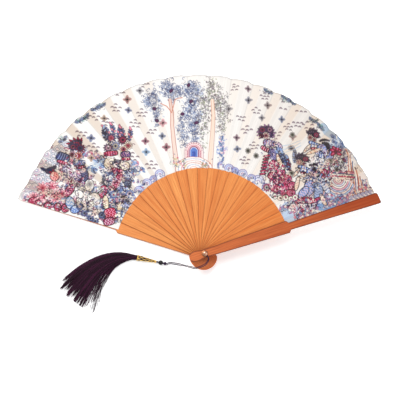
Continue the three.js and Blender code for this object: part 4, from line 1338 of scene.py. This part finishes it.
# pen work over the growth: dark and pale scribbled curls
for x, y, wide, high, count in ((-104, 90, 9, 26, 190), (-88, 84, 7, 24, 130), (-146, 86, 12, 17, 190),
                                (-170, 64, 10, 8, 90), (-126, 54, 12, 11, 130), (-86, 58, 8, 8, 70),
                                (82, 92, 10, 22, 170), (76, 126, 6, 8, 60), (124, 88, 14, 14, 170),
                                (136, 116, 12, 9, 80), (112, 56, 18, 7, 120), (158, 96, 10, 12, 90)):
    curls(x, y, wide * 0.8, high * 0.6, count // 2, (ink, ink, navy, (70, 20, 44)), 1.5, 0.5)
    curls(x, y, wide * 0.8, high * 0.6, count // 4, (cream, (246, 240, 240), blush), 1.5, 0.55)

# loose dots of the print's ground, thinner to the middle
for _ in range(420):
    bearing, reach = brush.uniform(19, 161), brush.uniform(100, 206)
    oval(reach * cos(radians(bearing)), reach * sin(radians(bearing)), 0.4, 0.4, 0, (190, 186, 196), None,
         strength=0.6)


def print_at(x, y):
    """The printed colour at places on the flat leaf, smoothed between dabs, as screen values."""
    column = np.clip((x - left_side) / fine, 0, paper.shape[1] - 1.01)
    row = np.clip((y - low_side) / fine, 0, paper.shape[0] - 1.01)
    c0, r0 = column.astype(int), row.astype(int)
    fc, fr = (column - c0)[..., None], (row - r0)[..., None]
    inked = ((paper[r0, c0] * (1 - fc) + paper[r0, c0 + 1] * fc) * (1 - fr)
             + (paper[r0 + 1, c0] * (1 - fc) + paper[r0 + 1, c0 + 1] * fc) * fr)
    depth_of_ink = 1 - inked / cloth_white
    return cloth_white * (1 - ink_strength * np.sign(depth_of_ink) * np.abs(depth_of_ink) ** ink_bite)


leaf_cloth, nodes, links, shader = new_material("printed leaf", (247, 245, 241), 0.86, Sheen_Weight=0.1)
printed = node(nodes, "ShaderNodeAttribute", attribute_name="print")
place = node(nodes, "ShaderNodeTexCoord")
cloudy = node(nodes, "ShaderNodeTexNoise", Scale=55.0, Detail=3.0)
links.new(place.outputs["Object"], cloudy.inputs["Vector"])
soil = node(nodes, "ShaderNodeMapRange", From_Min=0.35, From_Max=0.75, To_Min=0.0, To_Max=0.06)
links.new(cloudy.outputs["Fac"], soil.inputs["Value"])
links.new(mix_colours(nodes, links, soil.outputs["Result"], printed.outputs["Color"],
                      (*linear(214, 196, 170), 1)),
          shader.inputs["Base Color"])
weave = []
for direction in ("X", "Y"):
    band = node(nodes, "ShaderNodeTexWave", Scale=700.0, Distortion=1.2, Detail=1.0,
                bands_direction=direction)
    links.new(place.outputs["Object"], band.inputs["Vector"])
    weave.append(band.outputs["Fac"])
crossed = node(nodes, "ShaderNodeMath", operation="MULTIPLY")
links.new(weave[0], crossed.inputs[0])
links.new(weave[1], crossed.inputs[1])
bumped(nodes, links, shader, crossed.outputs[0], 0.00003, 0.5)
leaf_back, nodes, links, shader = new_material("leaf reverse", (240, 236, 230), 0.9, Sheen_Weight=0.1)
show_through = node(nodes, "ShaderNodeAttribute", attribute_name="print")
links.new(mix_colours(nodes, links, 0.24, (*linear(243, 240, 234), 1), show_through.outputs["Color"]),
          shader.inputs["Base Color"])
place = node(nodes, "ShaderNodeTexCoord")
cloudy = node(nodes, "ShaderNodeTexNoise", Scale=900.0, Detail=3.0)
links.new(place.outputs["Object"], cloudy.inputs["Vector"])
bumped(nodes, links, shader, cloudy.outputs["Fac"], 0.00003)

leaf_inner, leaf_thickness, glued_half = shoulder - 0.2, 0.25, 1.9
rim_edge, tip_cover = np.degrees(6.6 / leaf_rim), 2.3
pleat_depth, depth_by_guard, pleat_take_up = 2.0, 1.1, 1.045
crease_dip, crease_ripple = 0.9, 0.35
# Painted shade: a warm tint on one face of each pleat, and darkening in the valley creases and along the
# rim's edge; the cloth is also yellower to the right.
pleat_shade_tint, yellow_tint = np.array([0.07, 0.127, 0.18]), np.array([0.06, 0.074, 0.086])
crease_shade, edge_shade_depth, edge_shade_reach = 0.09, 0.3, 0.7
rows, columns = 200, 56


def leaf_height(layer):
    low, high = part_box("leaf_gore_%02d" % layer)
    return (low.z + high.z) / 2 / mm


def pleat_sweep(layer):
    """How far each column of the pleat lies past its first slat's bearing, in degrees."""
    share = np.linspace(0, 1, columns)[None, :]
    if layer == 0:
        return -rim_edge + share * (pitch + rim_edge)
    if layer == layers - 1:
        return share * (pitch + 0.5 * rim_edge)
    return share * pitch


def pleat_shape(layer, sweep, reach):
    """The pleat's radius and height at every point, and how far it is from slat to slat, glue apart."""
    rest = sweep / pitch
    between = np.clip(rest, 0, 1)
    crease = crease_dip * np.abs(np.sin(between * pi)) + crease_ripple * np.sin(2 * pi * between) ** 2
    radius = leaf_inner + reach * (leaf_rim - crease - leaf_inner)
    if layer == 0:
        radius = radius + tip_cover * reach * np.clip(1.6 - 3 * rest, 0, 1)
    glued = glued_half / (radius * radians(pitch))
    free = np.clip((between - glued) / (1 - 2 * glued), 0, 1)
    fold = np.where(free < 0.25, -4 * free, np.where(free < 0.75, 4 * free - 2, 4 - 4 * free))
    depth = (depth_by_guard if layer in (1, layers - 2) else pleat_depth) * radius / leaf_rim
    if layer == 0:
        depth = depth * np.clip(free * 2, 0.25, 1)
    if layer == layers - 1:
        depth = depth * np.clip((1 - free) * 2, 0.0, 1)
    low, high = leaf_height(layer), leaf_height(layer + 1)
    height = low + (high - low) * free + depth * fold
    return radius, np.maximum(height, low) if layer == 0 else height, free


def pleat_tone(x, y, bearing, reach, free):
    """The print, yellower to the right, with painted shade: warm on one face of each pleat, dark in the
    creases and along the rim.
    """
    tone = print_at(x, y)
    # painted shade, warm in tone, on the face rising from each valley crease to the next ridge, stronger
    # toward both sides
    aside = np.clip(np.abs(90 - bearing) / 42 - 0.15, 0, 1) * (0.5 + 0.5 * reach)
    strip = 1 / (1 + np.exp(-(free - 0.27) * 60)) - 1 / (1 + np.exp(-(free - 0.73) * 60))
    warm = (0.15 + 0.85 * aside) * strip
    yellowed = np.clip((92 - bearing) / 40, 0, 1) * (0.35 + 0.65 * reach)
    # painted shade in each valley crease and along the rim's edge
    creased = crease_shade * np.exp(-((free - 0.25) * 30) ** 2)
    edge_shading = edge_shade_depth * np.exp(-(1 - reach) * (leaf_rim - leaf_inner) / edge_shade_reach) + 0 * bearing
    tone = tone * (1 - warm[..., None] * pleat_shade_tint) * (1 - yellowed[..., None] * yellow_tint)
    return tone * (1 - creased[..., None]) * (1 - edge_shading[..., None])


for layer in range(layers):
    start = 90 + open_angle / 2 - layer * pitch
    reach = np.linspace(0, 1, rows)[:, None]
    sweep = pleat_sweep(layer)
    bearing = start - sweep
    radius, height, free = pleat_shape(layer, sweep, reach)
    x, y = radius * np.cos(np.radians(bearing)), radius * np.sin(np.radians(bearing))
    points = np.stack([x, y, height], -1).reshape(-1, 3) * mm
    faces = [face[::-1] for face in grid_faces(rows, columns, False)]
    pleat = mesh_object("leaf_pleat_%02d" % layer, points, faces, True, leaf_cloth)
    pleat.data.materials.append(leaf_back)
    if pleat.data.polygons[0].normal.z < 0:
        pleat.data.flip_normals()
    tone = np.clip(pleat_tone(x, y, bearing, reach, free).reshape(-1, 3), 0, 255)
    store(pleat.data, "print", "FLOAT_COLOR", np.stack([*linear(*tone.T), np.ones(len(tone))], 1), "color")
    thick = pleat.modifiers.new("thickness", "SOLIDIFY")
    thick.thickness = leaf_thickness * mm
    thick.offset = 0.0
    thick.material_offset = 1
    thick.material_offset_rim = 0
    gores = ["leaf_gore_%02d" % layer]
    if layer == layers - 1:
        gores.append("leaf_gore_%02d" % (layer + 1))
    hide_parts(*gores)
    low = leaf_height(layer)
    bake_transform(pleat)
    wide, tall = radians(pitch) * leaf_rim * 1.05, leaf_rim - leaf_inner
    if layer in (0, layers - 1):
        wide *= 1.25


# ---- Rivet and washer ----
# A steel pin with a flat foot underneath and a polished dome on top, headed over a brass washer; the
# hanging cord sits in the bare neck between the washer and the dome.
def lathe_upright(name, profile, around, material):
    points = [(r * cos(t) * mm, r * sin(t) * mm, z * mm) for r, z in profile
              for t in np.linspace(0, 2 * pi, around, endpoint=False)]
    faces = grid_faces(len(profile), around)
    faces.append(tuple(range(around))[::-1])
    faces.append(tuple((len(profile) - 1) * around + i for i in range(around)))
    made = mesh_object(name, points, faces, True, material)
    made.data.set_sharp_from_angle(angle=radians(40))
    return made


def metal_material(name, pale, deep, roughness):
    material, nodes, links, shader = new_material(name, pale, roughness, 1.0)
    place = node(nodes, "ShaderNodeTexCoord")
    wear = node(nodes, "ShaderNodeTexNoise", Scale=1400.0, Detail=5.0, Roughness=0.6)
    links.new(place.outputs["Object"], wear.inputs["Vector"])
    links.new(mix_colours(nodes, links, wear.outputs["Fac"], (*linear(*pale), 1), (*linear(*deep), 1)),
              shader.inputs["Base Color"])
    rough = node(nodes, "ShaderNodeMapRange", To_Min=roughness - 0.08, To_Max=roughness + 0.14)
    links.new(wear.outputs["Fac"], rough.inputs["Value"])
    links.new(rough.outputs["Result"], shader.inputs["Roughness"])
    bumped(nodes, links, shader, wear.outputs["Fac"], 0.00001, 0.4)
    return material


rivet_metal = metal_material("warm polished steel", (226, 180, 152), (176, 118, 92), 0.26)
washer_metal = metal_material("washer brass", (176, 124, 82), (126, 82, 52), 0.34)
rivet_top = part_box("rivet")[1].z / mm
dome_base, dome_radius = rivet_top - 1.9, 2.8
profile = [(0.1, 0.0), (2.3, 0.0), (2.62, 0.06), (2.78, 0.22), (dome_radius, 0.5), (2.68, 0.66), (2.5, 0.7)]
profile += [(pin_radius, 0.7), (pin_radius, dome_base)]
profile += [(2.5, dome_base), (2.76, dome_base + 0.1), (2.8, dome_base + 0.3)]
profile += [(dome_radius * cos(t), dome_base + 0.3 + 1.6 * sin(t)) for t in np.linspace(0.12, 1.54, 14)]
rivet = lathe_upright("domed_rivet", profile, 48, rivet_metal)
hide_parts("rivet")
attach(rivet, "base")
low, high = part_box("rivet_washer")[0].z / mm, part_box("rivet_washer")[1].z / mm
bore, around = 1.6, 48
ring = [(bore, low), (3.25, low), (3.38, low + 0.08), (3.4, (low + high) / 2), (3.38, high - 0.08),
        (3.25, high)]
ring.append((bore, high))
points = [(r * cos(t) * mm, r * sin(t) * mm, z * mm)
          for r, z in ring for t in np.linspace(0, 2 * pi, around, endpoint=False)]
last = (len(ring) - 1) * around
faces = grid_faces(len(ring), around)
faces += [(last + i, last + (i + 1) % around, (i + 1) % around, i) for i in range(around)]
washer = mesh_object("brass_washer", points, faces, True, washer_metal)
washer.data.set_sharp_from_angle(angle=radians(40))
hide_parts("rivet_washer")
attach(washer, "base")


# ---- Table and light ----
# A plain white table under a wide soft studio light from the upper left, with a paler fill.
floor_white, nodes, links, shader = new_material("white table", (253, 253, 253), 0.7, Emission_Strength=0.3,
                                                Emission_Color=(1, 1, 1, 1))
half_table, table_top = 3, cad_low.z - 0.0002
corners = [(x * half_table, y * half_table, table_top) for x, y in ((-1, -1), (1, -1), (1, 1), (-1, 1))]
floor = mesh_object("table", corners, [(0, 1, 2, 3)], False, floor_white)
world = bpy.data.worlds.new("studio")
world.use_nodes = True
world.node_tree.nodes["Background"].inputs["Color"].default_value = (0.98, 0.98, 1.0, 1)
world.node_tree.nodes["Background"].inputs["Strength"].default_value = 0.52
scene.world = world
for name, place, aim, size, power in (("key", (-0.6, 0.85, 1.6), (0, 0.06, 0), 1.3, 26.0),
                                      ("fill", (1.0, -0.4, 1.4), (0, 0.06, 0), 1.2, 6.5)):
    lamp = bpy.data.lights.new(name, "AREA")
    lamp.shape, lamp.size, lamp.energy = "DISK", size, power
    holder = bpy.data.objects.new(name, lamp)
    way = Vector(aim) - Vector(place)
    holder.matrix_world = Matrix.Translation(place) @ way.to_track_quat("-Z", "Y").to_matrix().to_4x4()
    scene.collection.objects.link(holder)
scene.view_settings.view_transform = "Standard"
